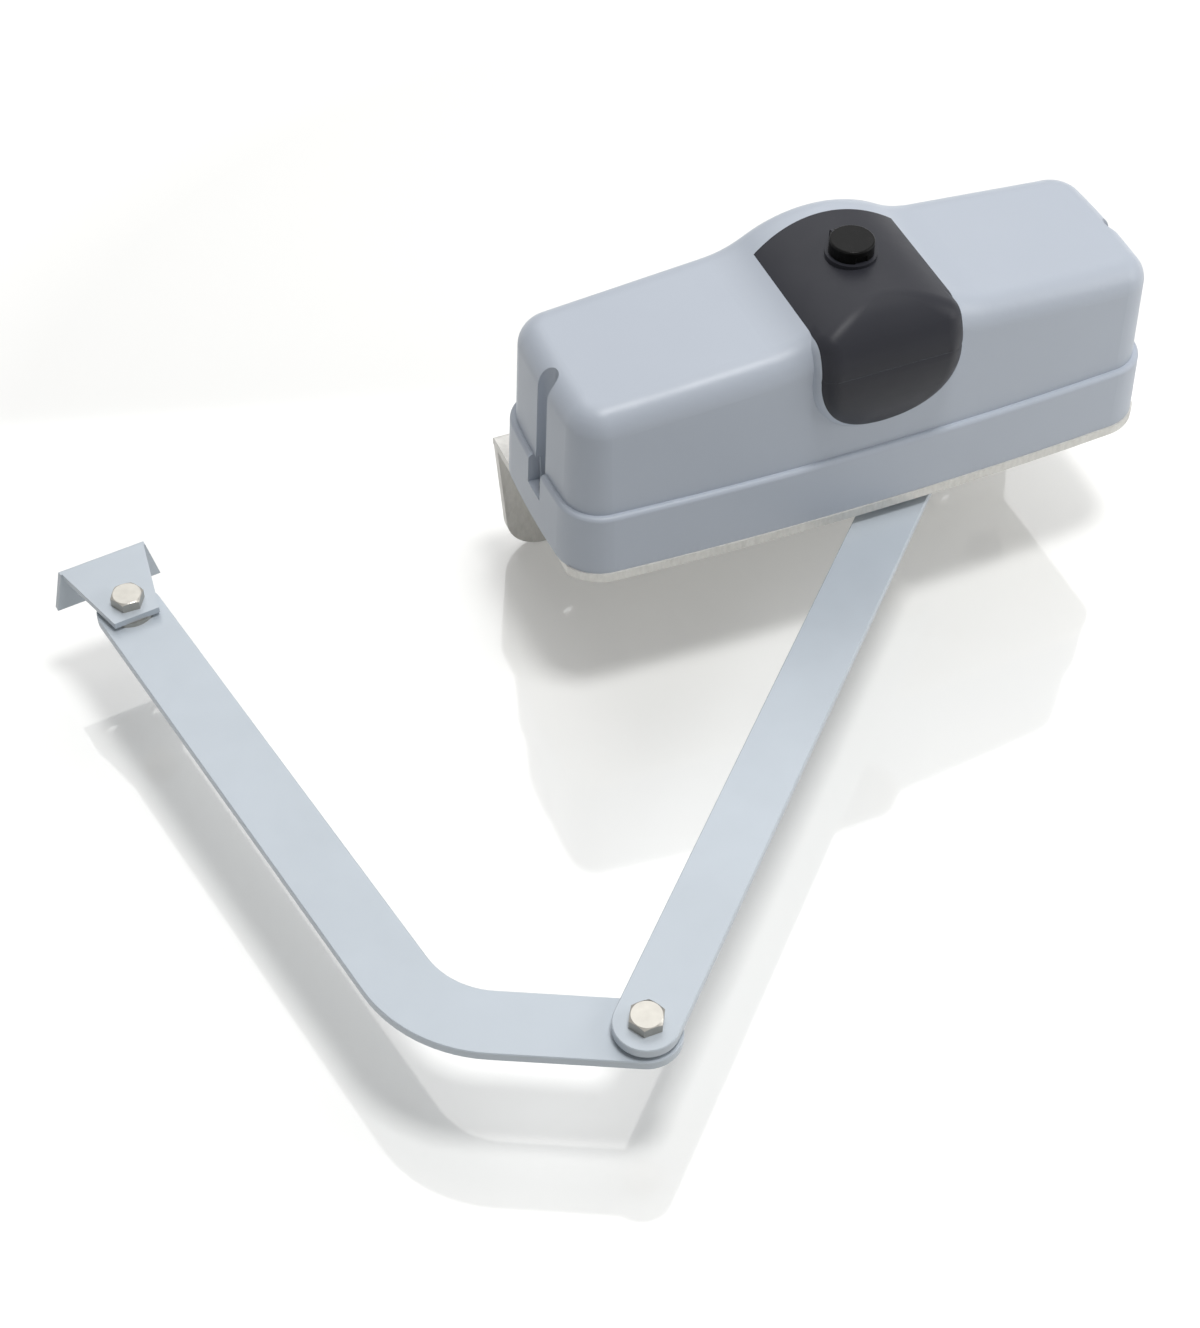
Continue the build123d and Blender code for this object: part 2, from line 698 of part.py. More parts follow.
# Gear case, a casting that stands on the plate: bearing seats in its floor and a tunnel for the worm
case_bottom = plate_top
tunnel_half = inner_end_radius + case_gap + case_wall + 1
tunnel_left = release_x - tunnel_half
tunnel_radius = worm_bearing[0] / 2 + case_wall
lower_seat_top = case_bottom + output_bearing[1]
with BuildPart() as gear_case:
    with BuildSketch(Plane.XY.offset(case_bottom)):
        add(case_outline(case_wall))
        add(lid_boss_plan(lid_boss_radius))
    extrude(amount=case_top - case_bottom)
    with BuildSketch(Plane.XY.offset(case_bottom + case_floor)):
        add(case_outline(0))
    extrude(amount=case_top - case_bottom, mode=Mode.SUBTRACT)
    with BuildSketch(Plane.XY.offset(case_bottom)):
        with Locations((output_x, output_y)):
            Circle(output_bearing[0] / 2 + case_wall)
            with PolarLocations(case_bolt_radius, 4, start_angle=45):
                Circle(case_screw_diameter / 2 + case_wall)
        with Locations((release_x, release_y)):
            Circle(pinion_bearing[0] / 2 + case_wall)
    extrude(amount=output_bearing[1])
    with BuildSketch(Plane.YZ.offset(tunnel_left)):
        with Locations((worm_y, worm_z)):
            Circle(tunnel_radius)
    extrude(amount=2 * tunnel_half)
    with BuildSketch(Plane.YZ.offset(tunnel_left)):
        with Locations((worm_y, worm_z)):
            Circle(gearhead_diameter / 2)
        with Locations((worm_y, case_top)):
            Rectangle(gearhead_diameter, gearhead_diameter, align=(Align.CENTER, Align.MIN), mode=Mode.SUBTRACT)
    extrude(amount=case_wall)
    with BuildSketch(Plane.YZ.offset(tunnel_left)):
        with Locations((worm_y, worm_z)):
            Circle(worm_bearing[0] / 2)
    extrude(amount=2 * tunnel_half - case_wall, mode=Mode.SUBTRACT)
    with BuildSketch(Plane.XY.offset(worm_z - tunnel_radius)):
        with Locations((release_x, release_y)):
            Circle(wheel_tip_radius + case_gap)
    extrude(amount=case_top, mode=Mode.SUBTRACT)
    with BuildSketch(Plane.XY.offset(plate_bottom)):
        with Locations((output_x, output_y)):
            Circle(spigot_diameter / 2)
    extrude(amount=plate_thickness)
    with BuildSketch(Plane.XY.offset(plate_bottom)):
        with Locations((output_x, output_y)):
            Circle(seal_ring[0] / 2)
    extrude(amount=plate_thickness, mode=Mode.SUBTRACT)
    with BuildSketch(Plane.XY.offset(case_bottom)):
        with Locations((output_x, output_y)):
            Circle(output_bearing[0] / 2)
    extrude(amount=output_bearing[1], mode=Mode.SUBTRACT)
    with BuildSketch(Plane.XY.offset(case_bottom + output_bearing[1] - pinion_bearing[1])):
        with Locations((release_x, release_y)):
            Circle(pinion_bearing[0] / 2)
    extrude(amount=pinion_bearing[1], mode=Mode.SUBTRACT)
    with BuildSketch(Plane.XY.offset(case_bottom)):
        with Locations((output_x, output_y)):
            with PolarLocations(case_bolt_radius, 4, start_angle=45):
                Circle(case_screw_diameter / 2)
    extrude(amount=case_screw_reach, mode=Mode.SUBTRACT)
    with BuildSketch(Plane.XY.offset(case_top)):
        add(lid_boss_plan(lid_screw_diameter / 2))
    extrude(amount=-lid_screw_reach, mode=Mode.SUBTRACT)
finish(gear_case, "gear_case")

# Lid of the gear case, with the two upper bearing seats and the release key's guide
lid_top = case_top + lid_thickness
lid_seat_bottom = case_top - (output_bearing[1] - lid_thickness) - 2
with BuildPart() as gear_case_lid:
    with BuildSketch(Plane.XY.offset(case_top)):
        add(case_outline(case_wall))
        add(lid_boss_plan(lid_boss_radius))
    extrude(amount=lid_thickness)
    with BuildSketch(Plane.XY.offset(lid_seat_bottom)):
        with Locations((output_x, output_y)):
            Circle(output_bearing[0] / 2 + case_wall)
        with Locations((release_x, release_y)):
            Circle(pinion_bearing[0] / 2 + case_wall - 1)
        with Locations((release_x, worm_y)):
            Rectangle(2 * tunnel_half, 2 * (tunnel_radius - 1), mode=Mode.SUBTRACT)
    extrude(amount=case_top - lid_seat_bottom)
    with BuildSketch(Plane.XY.offset(lid_top)):
        with Locations((release_x, release_y)):
            Circle(well_radius + cover_wall)
    extrude(amount=guide_height)
    with BuildSketch(Plane.XY.offset(lid_seat_bottom)):
        with Locations((output_x, output_y)):
            Circle(output_bearing[0] / 2)
    extrude(amount=output_bearing[1], mode=Mode.SUBTRACT)
    with BuildSketch(Plane.XY.offset(lid_seat_bottom)):
        with Locations((output_x, output_y)):
            Circle(output_shaft_diameter / 2 + 2)
        with Locations((release_x, release_y)):
            Circle(key_rod_diameter / 2 + running_clearance)
    extrude(amount=lid_top - lid_seat_bottom, mode=Mode.SUBTRACT)
    with BuildSketch(Plane.XY.offset(lid_seat_bottom)):
        with Locations((release_x, release_y)):
            Circle(pinion_bearing[0] / 2)
    extrude(amount=pinion_bearing[1], mode=Mode.SUBTRACT)
    with BuildSketch(Plane.XY.offset(lid_top)):
        with Locations((release_x, release_y)):
            Circle(well_radius + running_clearance)
            with Locations((-well_radius - cover_wall / 2, 0)):
                Rectangle(2 * cover_wall, tab_width)
    extrude(amount=guide_height, mode=Mode.SUBTRACT)
    with BuildSketch(Plane.XY.offset(case_top)):
        add(lid_boss_plan(lid_screw_diameter / 2 + screw_clearance))
    extrude(amount=lid_thickness, mode=Mode.SUBTRACT)
finish(gear_case_lid, "gear_case_lid")

# Bearings of the output shaft, the pinion shaft and the worm
with BuildPart() as lower_output_bearing:
    add(ball_bearing(output_bearing, output_shaft_diameter, Plane((output_x, output_y, case_bottom))))
finish(lower_output_bearing, "lower_output_bearing")

with BuildPart() as upper_output_bearing:
    add(ball_bearing(output_bearing, output_shaft_diameter, Plane((output_x, output_y, lid_seat_bottom))))
finish(upper_output_bearing, "upper_output_bearing")

with BuildPart() as lower_pinion_bearing:
    seat = Plane((release_x, release_y, lower_seat_top - pinion_bearing[1]))
    add(ball_bearing(pinion_bearing, pinion_shaft_diameter, seat))
finish(lower_pinion_bearing, "lower_pinion_bearing")

with BuildPart() as upper_pinion_bearing:
    add(ball_bearing(pinion_bearing, pinion_shaft_diameter, Plane((release_x, release_y, lid_seat_bottom))))
finish(upper_pinion_bearing, "upper_pinion_bearing")

tunnel_end = tunnel_left + 2 * tunnel_half - case_wall
with BuildPart() as worm_end_bearing:
    seat = Plane(origin=(tunnel_end - worm_bearing[1], worm_y, worm_z), x_dir=(0, 1, 0), z_dir=(1, 0, 0))
    add(ball_bearing(worm_bearing, worm_shaft_diameter, seat))
finish(worm_end_bearing, "worm_end_bearing")

with BuildPart() as shaft_seal:
    bore = output_shaft_diameter + 2 * running_clearance
    add(tube(output_x, output_y, plate_bottom, plate_bottom + seal_ring[1], seal_ring[0], bore))
finish(shaft_seal, "shaft_seal")

# Output shaft with a square end for the arm, its gear, and the magnet that tells its angle
shaft_top = lid_seat_bottom + output_bearing[1] + 1
square_bottom = drive_arm_bottom + 0.5
with BuildPart() as output_shaft:
    with BuildSketch(Plane((output_x, output_y, drive_arm_top))):
        Circle(output_shaft_diameter / 2)
    extrude(amount=shaft_top - drive_arm_top)
    with BuildSketch(Plane((output_x, output_y, square_bottom)).rotated((0, 0, 45))):
        Rectangle(output_square, output_square)
    extrude(amount=drive_arm_top - square_bottom)
    with BuildSketch(Plane((output_x, output_y, square_bottom))):
        Circle(arm_screw_diameter / 2)
    extrude(amount=arm_screw_reach, mode=Mode.SUBTRACT)
finish(output_shaft, "output_shaft")

# The direction from the output shaft to the pinion, where a tooth of one meets a gap of the other
mesh_angle = degrees(atan2(release_y - output_y, release_x - output_x))
with BuildPart() as output_gear:
    with BuildSketch(Plane((output_x, output_y, gear_bottom))):
        add(gear_outline(gear_module, output_teeth, mesh_angle))
    extrude(amount=gear_width)
    with BuildSketch(Plane((output_x, output_y, lower_seat_top))):
        Circle(output_shaft_diameter / 2 + gear_hub_wall)
    extrude(amount=lid_seat_bottom - lower_seat_top)
    with BuildSketch(Plane((output_x, output_y, lower_seat_top))):
        Circle(output_shaft_diameter / 2)
    extrude(amount=lid_seat_bottom - lower_seat_top, mode=Mode.SUBTRACT)
    with BuildSketch(Plane((output_x, output_y, gear_bottom))):
        with PolarLocations(output_pitch_radius * 0.62, 6):
            Circle(gear_hole_radius)
    extrude(amount=gear_width, mode=Mode.SUBTRACT)
finish(output_gear, "output_gear")

# Pinion shaft, hollow from the top for the release key rod and slotted across for its bar
wheel_bottom = worm_z - wheel_width / 2
bar_top = wheel_bottom + clutch_travel - screw_clearance
bar_bottom = wheel_bottom + screw_clearance
slot_bottom = bar_bottom - clutch_travel - screw_clearance
pinion_shaft_bottom = lower_seat_top - pinion_bearing[1]
pinion_shaft_top = lid_seat_bottom + pinion_bearing[1]
with BuildPart() as pinion_shaft:
    with BuildSketch(Plane((release_x, release_y, pinion_shaft_bottom))):
        Circle(pinion_shaft_diameter / 2)
    extrude(amount=pinion_shaft_top - pinion_shaft_bottom)
    with BuildSketch(Plane((release_x, release_y, gear_bottom))):
        add(gear_outline(gear_module, pinion_teeth, mesh_angle + 180 + 180 / pinion_teeth))
    extrude(amount=gear_width + 1)
    with BuildSketch(Plane((release_x, release_y, slot_bottom))):
        Rectangle(pinion_shaft_diameter + 1, clutch_bar_width + 2 * running_clearance)
    extrude(amount=bar_top + screw_clearance - slot_bottom, mode=Mode.SUBTRACT)
    with BuildSketch(Plane((release_x, release_y, slot_bottom))):
        Circle(key_rod_diameter / 2 + running_clearance)
    extrude(amount=pinion_shaft_top - slot_bottom, mode=Mode.SUBTRACT)
finish(pinion_shaft, "pinion_shaft")

# Worm wheel: helical teeth lofted over its width, and a slot below that the clutch bar drives
wheel_twist = degrees(wheel_width * worm_lead / (2 * pi * worm_pitch_radius) / wheel_pitch_radius)
wheel_gap_angle = 90 + 180 / worm_wheel_teeth
with BuildPart() as worm_wheel:
    with BuildSketch(Plane((release_x, release_y, wheel_bottom))):
        add(gear_outline(worm_module, worm_wheel_teeth, wheel_gap_angle - wheel_twist / 2))
    with BuildSketch(Plane((release_x, release_y, wheel_bottom + wheel_width))):
        add(gear_outline(worm_module, worm_wheel_teeth, wheel_gap_angle + wheel_twist / 2))
    loft(ruled=True)
    with BuildSketch(Plane((release_x, release_y, wheel_bottom))):
        Circle(pinion_shaft_diameter / 2)
    extrude(amount=wheel_width, mode=Mode.SUBTRACT)
    with BuildSketch(Plane((release_x, release_y, wheel_bottom))):
        Rectangle(clutch_bar_length + 1, clutch_bar_width + 4 * running_clearance)
    extrude(amount=clutch_travel, mode=Mode.SUBTRACT)
finish(worm_wheel, "worm_wheel")

# Worm shaft with one helical thread, from the gearhead to the bearing at the tunnel's end.
# The thread starts on top, so it faces the wheel a quarter of a turn later.
worm_root_radius = worm_pitch_radius - 1.25 * worm_module
thread_sink = 0.4
flank_slope = tan(radians(pressure_angle))
half_thread = worm_lead / 4 - backlash / 2
turns = round(worm_length / worm_lead / 2)
thread_start = release_x - (turns + 0.25) * worm_lead
with BuildPart() as worm_shaft:
    with BuildSketch(Plane.YZ.offset(tunnel_left - gearhead_shaft_reach)):
        with Locations((worm_y, worm_z)):
            Circle(worm_shaft_diameter / 2)
    extrude(amount=tunnel_end - tunnel_left + gearhead_shaft_reach)
    with BuildSketch(Plane.YZ.offset(release_x - worm_length / 2 - 2)):
        with Locations((worm_y, worm_z)):
            Circle(worm_root_radius)
    extrude(amount=worm_length + 4)
    sink_radius = worm_root_radius - thread_sink
    with BuildLine() as thread_path:
        Helix(
            pitch=worm_lead,
            height=2 * turns * worm_lead,
            radius=sink_radius,
            center=(thread_start, worm_y, worm_z),
            direction=(1, 0, 0),
        )
    foot_half = half_thread + flank_slope * (worm_pitch_radius - sink_radius)
    tip_half = half_thread - flank_slope * worm_module
    foot = thread_path.line @ 0
    outward = (0, foot.Y - worm_y, foot.Z - worm_z)
    with BuildSketch(Plane(origin=foot, x_dir=outward, z_dir=thread_path.line % 0)):
        Polygon(
            (0, -foot_half),
            (worm_pitch_radius + worm_module - sink_radius, -tip_half),
            (worm_pitch_radius + worm_module - sink_radius, tip_half),
            (0, foot_half),
            align=None,
        )
    sweep(path=thread_path.line, is_frenet=True)
finish(worm_shaft, "worm_shaft")

# Geared motor beside the case: closed gearhead, motor can and end cap
with BuildPart() as gearhead:
    with BuildSketch(Plane.YZ.offset(tunnel_left)):
        with Locations((worm_y, worm_z)):
            Circle(gearhead_diameter / 2)
    extrude(amount=-gearhead_length)
    chamfer(gearhead.edges().filter_by(GeomType.CIRCLE), 1)
    with BuildSketch(Plane.YZ.offset(tunnel_left)):
        with Locations((worm_y, worm_z)):
            Circle(worm_shaft_diameter / 2 + running_clearance)
    extrude(amount=-gearhead_shaft_reach - 1, mode=Mode.SUBTRACT)
finish(gearhead, "gearhead")

motor_right = tunnel_left - gearhead_length
motor_left = motor_right - motor_length
with BuildPart() as motor_can:
    with BuildSketch(Plane.YZ.offset(motor_right)):
        with Locations((worm_y, worm_z)):
            Circle(motor_diameter / 2)
    extrude(amount=-motor_length)
    fillet(motor_can.edges().filter_by(GeomType.CIRCLE).sort_by(Axis.X)[-1], 3)
finish(motor_can, "motor_can")

with BuildPart() as motor_end_cap:
    with BuildSketch(Plane.YZ.offset(motor_left)):
        with Locations((worm_y, worm_z)):
            Circle(motor_diameter / 2 - 1)
    extrude(amount=-end_cap_length)
    fillet(motor_end_cap.edges().filter_by(GeomType.CIRCLE).sort_by(Axis.X)[0], 2)
    with BuildSketch(Plane.YZ.offset(motor_left - end_cap_length)):
        with Locations((worm_y, worm_z)):
            Circle(motor_diameter / 5)
    extrude(amount=-end_cap_length / 3)
finish(motor_end_cap, "motor_end_cap")

# Release key: a triangular head under the cap, and a disc with a round channel across its lower face.
# Turned a quarter, the channel's rim presses the clutch key down by its whole travel.
head_bottom = lid_top + clutch_travel + screw_clearance
pusher_bottom = head_bottom + key_head_height + 2 * running_clearance
pusher_top = pusher_bottom + pusher_height
ramp_face = pusher_top + screw_clearance
ramp_depth = clutch_travel + screw_clearance
ramp_half_width = well_radius - 1
with BuildPart() as release_key:
    with BuildSketch(Plane((release_x, release_y, ramp_face))):
        Circle(well_radius - running_clearance)
    extrude(amount=key_disc_height)
    with BuildSketch(Plane.YZ.offset(release_x)):
        with Locations((release_y, ramp_face)):
            Ellipse(ramp_half_width, ramp_depth)
    extrude(amount=well_radius, both=True, mode=Mode.SUBTRACT)
    with BuildSketch(Plane((release_x, release_y, ramp_face + key_disc_height))):
        Circle(key_shaft_diameter / 2)
    extrude(amount=hump_top - key_head_length - ramp_face - key_disc_height)
    with BuildSketch(Plane((release_x, release_y, hump_top - key_head_length))):
        RegularPolygon(key_shaft_diameter / 2 + 1, 3)
    extrude(amount=key_head_length)
finish(release_key, "release_key")

# Pusher between them: its ridge lies in the channel, and its tab in the guide's slot stops it from turning
ridge_height = clutch_travel + screw_clearance - 2 * running_clearance
with BuildPart() as release_pusher:
    with BuildSketch(Plane((release_x, release_y, pusher_bottom))):
        Circle(well_radius - running_clearance)
        with Locations((-well_radius, 0)):
            Rectangle(2 * tab_reach, tab_width - 2 * running_clearance)
    extrude(amount=pusher_height)
    with BuildSketch(Plane.YZ.offset(release_x)):
        with Locations((release_y, pusher_top)):
            Polygon((-ridge_half_width, 0), (ridge_half_width, 0), (0, ridge_height), align=None)
    extrude(amount=ramp_half_width, both=True)
finish(release_pusher, "release_pusher")

# Clutch key: a rod through the pinion shaft, pressed down by the pusher, with its bar in the worm wheel
with BuildPart() as clutch_key:
    with BuildSketch(Plane((release_x, release_y, bar_bottom))):
        Circle(key_rod_diameter / 2)
    extrude(amount=head_bottom - bar_bottom)
    with BuildSketch(Plane((release_x, release_y, bar_bottom))):
        Rectangle(clutch_bar_length, clutch_bar_width - 2 * running_clearance)
    extrude(amount=bar_top - bar_bottom)
    with BuildSketch(Plane((release_x, release_y, head_bottom))):
        Circle(key_rod_diameter)
    extrude(amount=key_head_height)
finish(clutch_key, "clutch_key")

# Angle sensor over the output shaft: a magnet on the shaft and a board on the lid
magnet_top = shaft_top + magnet_height
with BuildPart() as sensor_magnet:
    add(tube(output_x, output_y, shaft_top, magnet_top, magnet_diameter, 3))
finish(sensor_magnet, "sensor_magnet")

with BuildPart() as sensor_board:
    with BuildSketch(Plane((output_x, output_y, magnet_top + 2))):
        RectangleRounded(sensor_board_length, sensor_board_width, 3)
    extrude(amount=board_thickness)
    with BuildSketch(Plane((output_x, output_y, lid_top))):
        with GridLocations(sensor_board_length - 8, sensor_board_width - 8, 2, 2):
            Circle(3)
    extrude(amount=magnet_top + 2 - lid_top)
    with BuildSketch(Plane((output_x, output_y, magnet_top + 2 + board_thickness))):
        Rectangle(6, 6)
        with Locations((sensor_board_length / 4, 0)):
            Rectangle(5, 12)
    extrude(amount=2)
finish(sensor_board, "sensor_board")

# Control board on four posts at the right end, its terminals and the cable gland below
board_bottom = plate_top + base_floor + board_post_height
with BuildPart() as control_board:
    with BuildSketch(Plane((board_x, board_y, board_bottom))):
        Rectangle(board_length, board_width)
    extrude(amount=board_thickness)
    with BuildSketch(Plane((board_x, board_y, plate_top + base_floor))):
        with GridLocations(board_length - 8, board_width - 8, 2, 2):
            Circle(3)
    extrude(amount=board_post_height)
    with BuildSketch(Plane((board_x, board_y, board_bottom + board_thickness))):
        with Locations((-board_length / 4, -board_width / 4), (-board_length / 4, -board_width / 12)):
            Rectangle(14, 11)
    extrude(amount=15)
    with BuildSketch(Plane((board_x, board_y, board_bottom + board_thickness))):
        with Locations((board_length / 4, -board_width / 4)):
            Circle(8)
    extrude(amount=25)
finish(control_board, "control_board")

with BuildPart() as terminal_block:
    with BuildSketch(Plane((board_x, board_y + board_width / 2 - 10, board_bottom + board_thickness))):
        Rectangle(6 * terminal_pitch - 2, 8)
    extrude(amount=10)
    with BuildSketch(Plane((board_x, board_y + board_width / 2 - 10, board_bottom + board_thickness + 10))):
        with GridLocations(terminal_pitch, 0, 5, 1):
            Circle(1.8)
    extrude(amount=-2, mode=Mode.SUBTRACT)
finish(terminal_block, "terminal_block")

with BuildPart() as cable_gland:
    with BuildSketch(Plane((gland_x, gland_y, plate_bottom))):
        RegularPolygon(gland_flats / 2, 6, major_radius=False)
    extrude(amount=-gland_flange)
    with BuildSketch(Plane((gland_x, gland_y, plate_bottom - gland_flange))):
        Circle(gland_flats / 2 - 1)
    extrude(amount=-gland_flange, taper=15)
    with BuildSketch(Plane((gland_x, gland_y, plate_bottom))):
        Circle(gland_thread / 2)
    extrude(amount=plate_thickness + base_floor + gland_flange)
    with BuildSketch(Plane((gland_x, gland_y, plate_top + base_floor))):
        RegularPolygon(gland_flats / 2, 6, major_radius=False)
    extrude(amount=gland_flange)
    with BuildSketch(Plane((gland_x, gland_y, plate_bottom - 3 * gland_flange))):
        Circle(gland_bore / 2)
    extrude(amount=10 * gland_flange, mode=Mode.SUBTRACT)
finish(cable_gland, "cable_gland")


def button_screw(x, y, seat, up, diameter, length):
    """A round-headed screw with a hex socket. Its shank runs up from the seat, or down from it."""
    side = 1 if up else -1
    head_height = 0.55 * diameter
    with BuildPart() as screw:
        with BuildSketch(Plane((x, y, seat))):
            Circle(diameter)
        extrude(amount=-side * head_height)
        outer_face = screw.faces().filter_by(Axis.Z).sort_by(lambda face: -side * face.center().Z)[-1]
        fillet(outer_face.edges(), 0.4 * diameter)
        with BuildSketch(Plane((x, y, seat - side * head_height))):
            RegularPolygon(0.3 * diameter, 6)
        extrude(amount=side * head_height * 0.7, mode=Mode.SUBTRACT)
        with BuildSketch(Plane((x, y, seat))):
            Circle(diameter / 2)
        extrude(amount=side * length)
    return screw.part


with BuildPart() as case_screws:
    for angle in (45, 135, 225, 315):
        x = output_x + case_bolt_radius * cos(radians(angle))
        y = output_y + case_bolt_radius * sin(radians(angle))
        add(button_screw(x, y, plate_bottom, True, case_screw_diameter, plate_thickness + case_screw_reach - 1))
finish(case_screws, "case_screws")

with BuildPart() as lid_screws:
    for spot in lid_boss_plan(1).faces():
        x, y = spot.center().X, spot.center().Y
        add(button_screw(x, y, lid_top, False, lid_screw_diameter, lid_thickness + lid_screw_reach - 1))
finish(lid_screws, "lid_screws")

with BuildPart() as base_screws:
    for end in (-1, 1):
        x = end * base_screw_spacing / 2
        add(button_screw(x, base_screw_y, plate_top + base_floor, False, base_screw_diameter, base_floor + 8))
finish(base_screws, "base_screws")

with BuildPart() as cover_screws:
    for end in (-1, 1):
        seat_z = notch_floor_z + foot_thickness
        reach = foot_thickness + cover_screw_reach - 1
        add(button_screw(end * channel_x, channel_y, seat_z, False, cover_screw_diameter, reach))
finish(cover_screws, "cover_screws")

# Straight drive arm, clamped to the square end of the output shaft
arm_angle = degrees(atan2(output_y - elbow_y, output_x - elbow_x))
arm_length = sqrt((output_x - elbow_x) ** 2 + (output_y - elbow_y) ** 2)
arm_middle = ((output_x + elbow_x) / 2, (output_y + elbow_y) / 2, drive_arm_bottom)
with BuildPart() as drive_arm:
    with BuildSketch(Plane(arm_middle).rotated((0, 0, arm_angle))):
        SlotCenterToCenter(arm_length, drive_arm_width)
    extrude(amount=arm_thickness)
    chamfer(drive_arm.faces().filter_by(Axis.Z).edges(), arm_chamfer)
    with BuildSketch(Plane((output_x, output_y, drive_arm_bottom)).rotated((0, 0, 45))):
        Rectangle(output_square, output_square)
    extrude(amount=arm_thickness, mode=Mode.SUBTRACT)
    with BuildSketch(Plane((elbow_x, elbow_y, drive_arm_bottom))):
        Circle(bolt_diameter / 2)
    extrude(amount=arm_thickness, mode=Mode.SUBTRACT)
finish(drive_arm, "drive_arm")

with BuildPart() as arm_washer:
    add(
        tube(
            output_x,
            output_y,
            drive_arm_bottom - small_washer_thickness,
            drive_arm_bottom,
            wide_washer_diameter,
            arm_screw_diameter,
        )
    )
finish(arm_washer, "arm_washer")

with BuildPart() as arm_screw:
    seat_z = drive_arm_bottom - small_washer_thickness
    add(button_screw(output_x, output_y, seat_z, True, arm_screw_diameter, small_washer_thickness + arm_screw_reach - 1))
finish(arm_screw, "arm_screw")

# Elbow: the bolt turns in a bush pressed into the curved arm
with BuildPart() as elbow_washer:
    add(tube(elbow_x, elbow_y, curved_arm_top, drive_arm_bottom, wide_washer_diameter, bolt_diameter))
finish(elbow_washer, "elbow_washer")

with BuildPart() as elbow_bush:
    bore = bolt_diameter + 2 * running_clearance
    add(tube(elbow_x, elbow_y, curved_arm_bottom, curved_arm_top, bush_diameter, bore))
finish(elbow_bush, "elbow_bush")

lower_washer_bottom = curved_arm_bottom - small_washer_thickness
nut_bottom = lower_washer_bottom - nut_height
with BuildPart() as elbow_lower_washer:
    add(tube(elbow_x, elbow_y, lower_washer_bottom, curved_arm_bottom, small_washer_diameter, bolt_diameter))
finish(elbow_lower_washer, "elbow_lower_washer")

with BuildPart() as elbow_nut:
    add(lock_nut(elbow_x, elbow_y, lower_washer_bottom))
finish(elbow_nut, "elbow_nut")

with BuildPart() as elbow_bolt:
    add(hex_bolt(elbow_x, elbow_y, drive_arm_top, nut_bottom - thread_stub))
finish(elbow_bolt, "elbow_bolt")

# Curved arm: one bar bent in its own plane
with BuildPart() as curved_arm:
    with BuildSketch(Plane.XY.offset(curved_arm_bottom)):
        with BuildLine():
            FilletPolyline(
                (elbow_x, elbow_y), (arm_corner_x, arm_corner_y), (gate_x, gate_y), radius=curved_arm_bend_radius
            )
        trace(line_width=curved_arm_width)
        with Locations((elbow_x, elbow_y), (gate_x, gate_y)):
            Circle(curved_arm_width / 2)
    extrude(amount=arm_thickness)
    chamfer(curved_arm.faces().filter_by(Axis.Z).edges(), arm_chamfer)
    with BuildSketch(Plane.XY.offset(curved_arm_bottom)):
        with Locations((elbow_x, elbow_y), (gate_x, gate_y)):
            Circle(bush_diameter / 2)
    extrude(amount=arm_thickness, mode=Mode.SUBTRACT)
finish(curved_arm, "curved_arm")

# Gate end: the same stack, with a folded bracket on top
with BuildPart() as gate_bush:
    bore = bolt_diameter + 2 * running_clearance
    add(tube(gate_x, gate_y, curved_arm_bottom, curved_arm_top, bush_diameter, bore))
finish(gate_bush, "gate_bush")

with BuildPart() as gate_washer:
    add(tube(gate_x, gate_y, curved_arm_top, gate_plate_bottom, wide_washer_diameter, bolt_diameter))
finish(gate_washer, "gate_washer")

with BuildPart() as gate_lower_washer:
    add(tube(gate_x, gate_y, lower_washer_bottom, curved_arm_bottom, small_washer_diameter, bolt_diameter))
finish(gate_lower_washer, "gate_lower_washer")

with BuildPart() as gate_nut:
    add(lock_nut(gate_x, gate_y, lower_washer_bottom))
finish(gate_nut, "gate_nut")

with BuildPart() as gate_bolt:
    add(hex_bolt(gate_x, gate_y, gate_plate_top, nut_bottom - thread_stub))
finish(gate_bolt, "gate_bolt")

# Gate bracket: a plate that widens from its tip, folded down at the gate
gate_plane = Plane((gate_x, gate_y, 0)).rotated((0, 0, gate_turn))
flare = (gate_bend_width - gate_tip_width) / 2 / (gate_tip_reach + gate_bend_reach)
skirt_width = gate_bend_width + 2 * flare * gate_flange_height
with BuildPart() as gate_bracket:
    with BuildSketch(gate_plane.offset(gate_plate_bottom)):
        Polygon(
            (-gate_tip_width / 2, -gate_tip_reach),
            (gate_tip_width / 2, -gate_tip_reach),
            (gate_bend_width / 2, gate_bend_reach),
            (-gate_bend_width / 2, gate_bend_reach),
            align=None,
        )
    extrude(amount=gate_plate_thickness)
    skirt_origin = gate_plane.from_local_coords(Vector(0, gate_bend_reach, gate_plate_top))
    skirt_plane = Plane(origin=skirt_origin, x_dir=gate_plane.x_dir, z_dir=-gate_plane.y_dir)
    with BuildSketch(skirt_plane):
        Polygon(
            (-gate_bend_width / 2, 0),
            (gate_bend_width / 2, 0),
            (skirt_width / 2, -gate_flange_height),
            (-skirt_width / 2, -gate_flange_height),
            align=None,
        )
    extrude(amount=gate_plate_thickness)
    bends = gate_bracket.edges().filter_by(lambda e: abs((e @ 0).Z - (e @ 1).Z) < 0.01)
    outer_bend = [e for e in bends if (e.center() - skirt_origin).length < 0.1]
    fillet(outer_bend, gate_bend_outer_radius)
    with BuildSketch(skirt_plane):
        with Locations((0, -gate_hole_drop)):
            with GridLocations(gate_hole_spacing, 0, 2, 1):
                Circle(gate_hole_diameter / 2)
    extrude(amount=gate_plate_thickness, mode=Mode.SUBTRACT)
    with BuildSketch(gate_plane.offset(gate_plate_bottom)):
        Circle(bolt_diameter / 2)
    extrude(amount=gate_plate_thickness, mode=Mode.SUBTRACT)
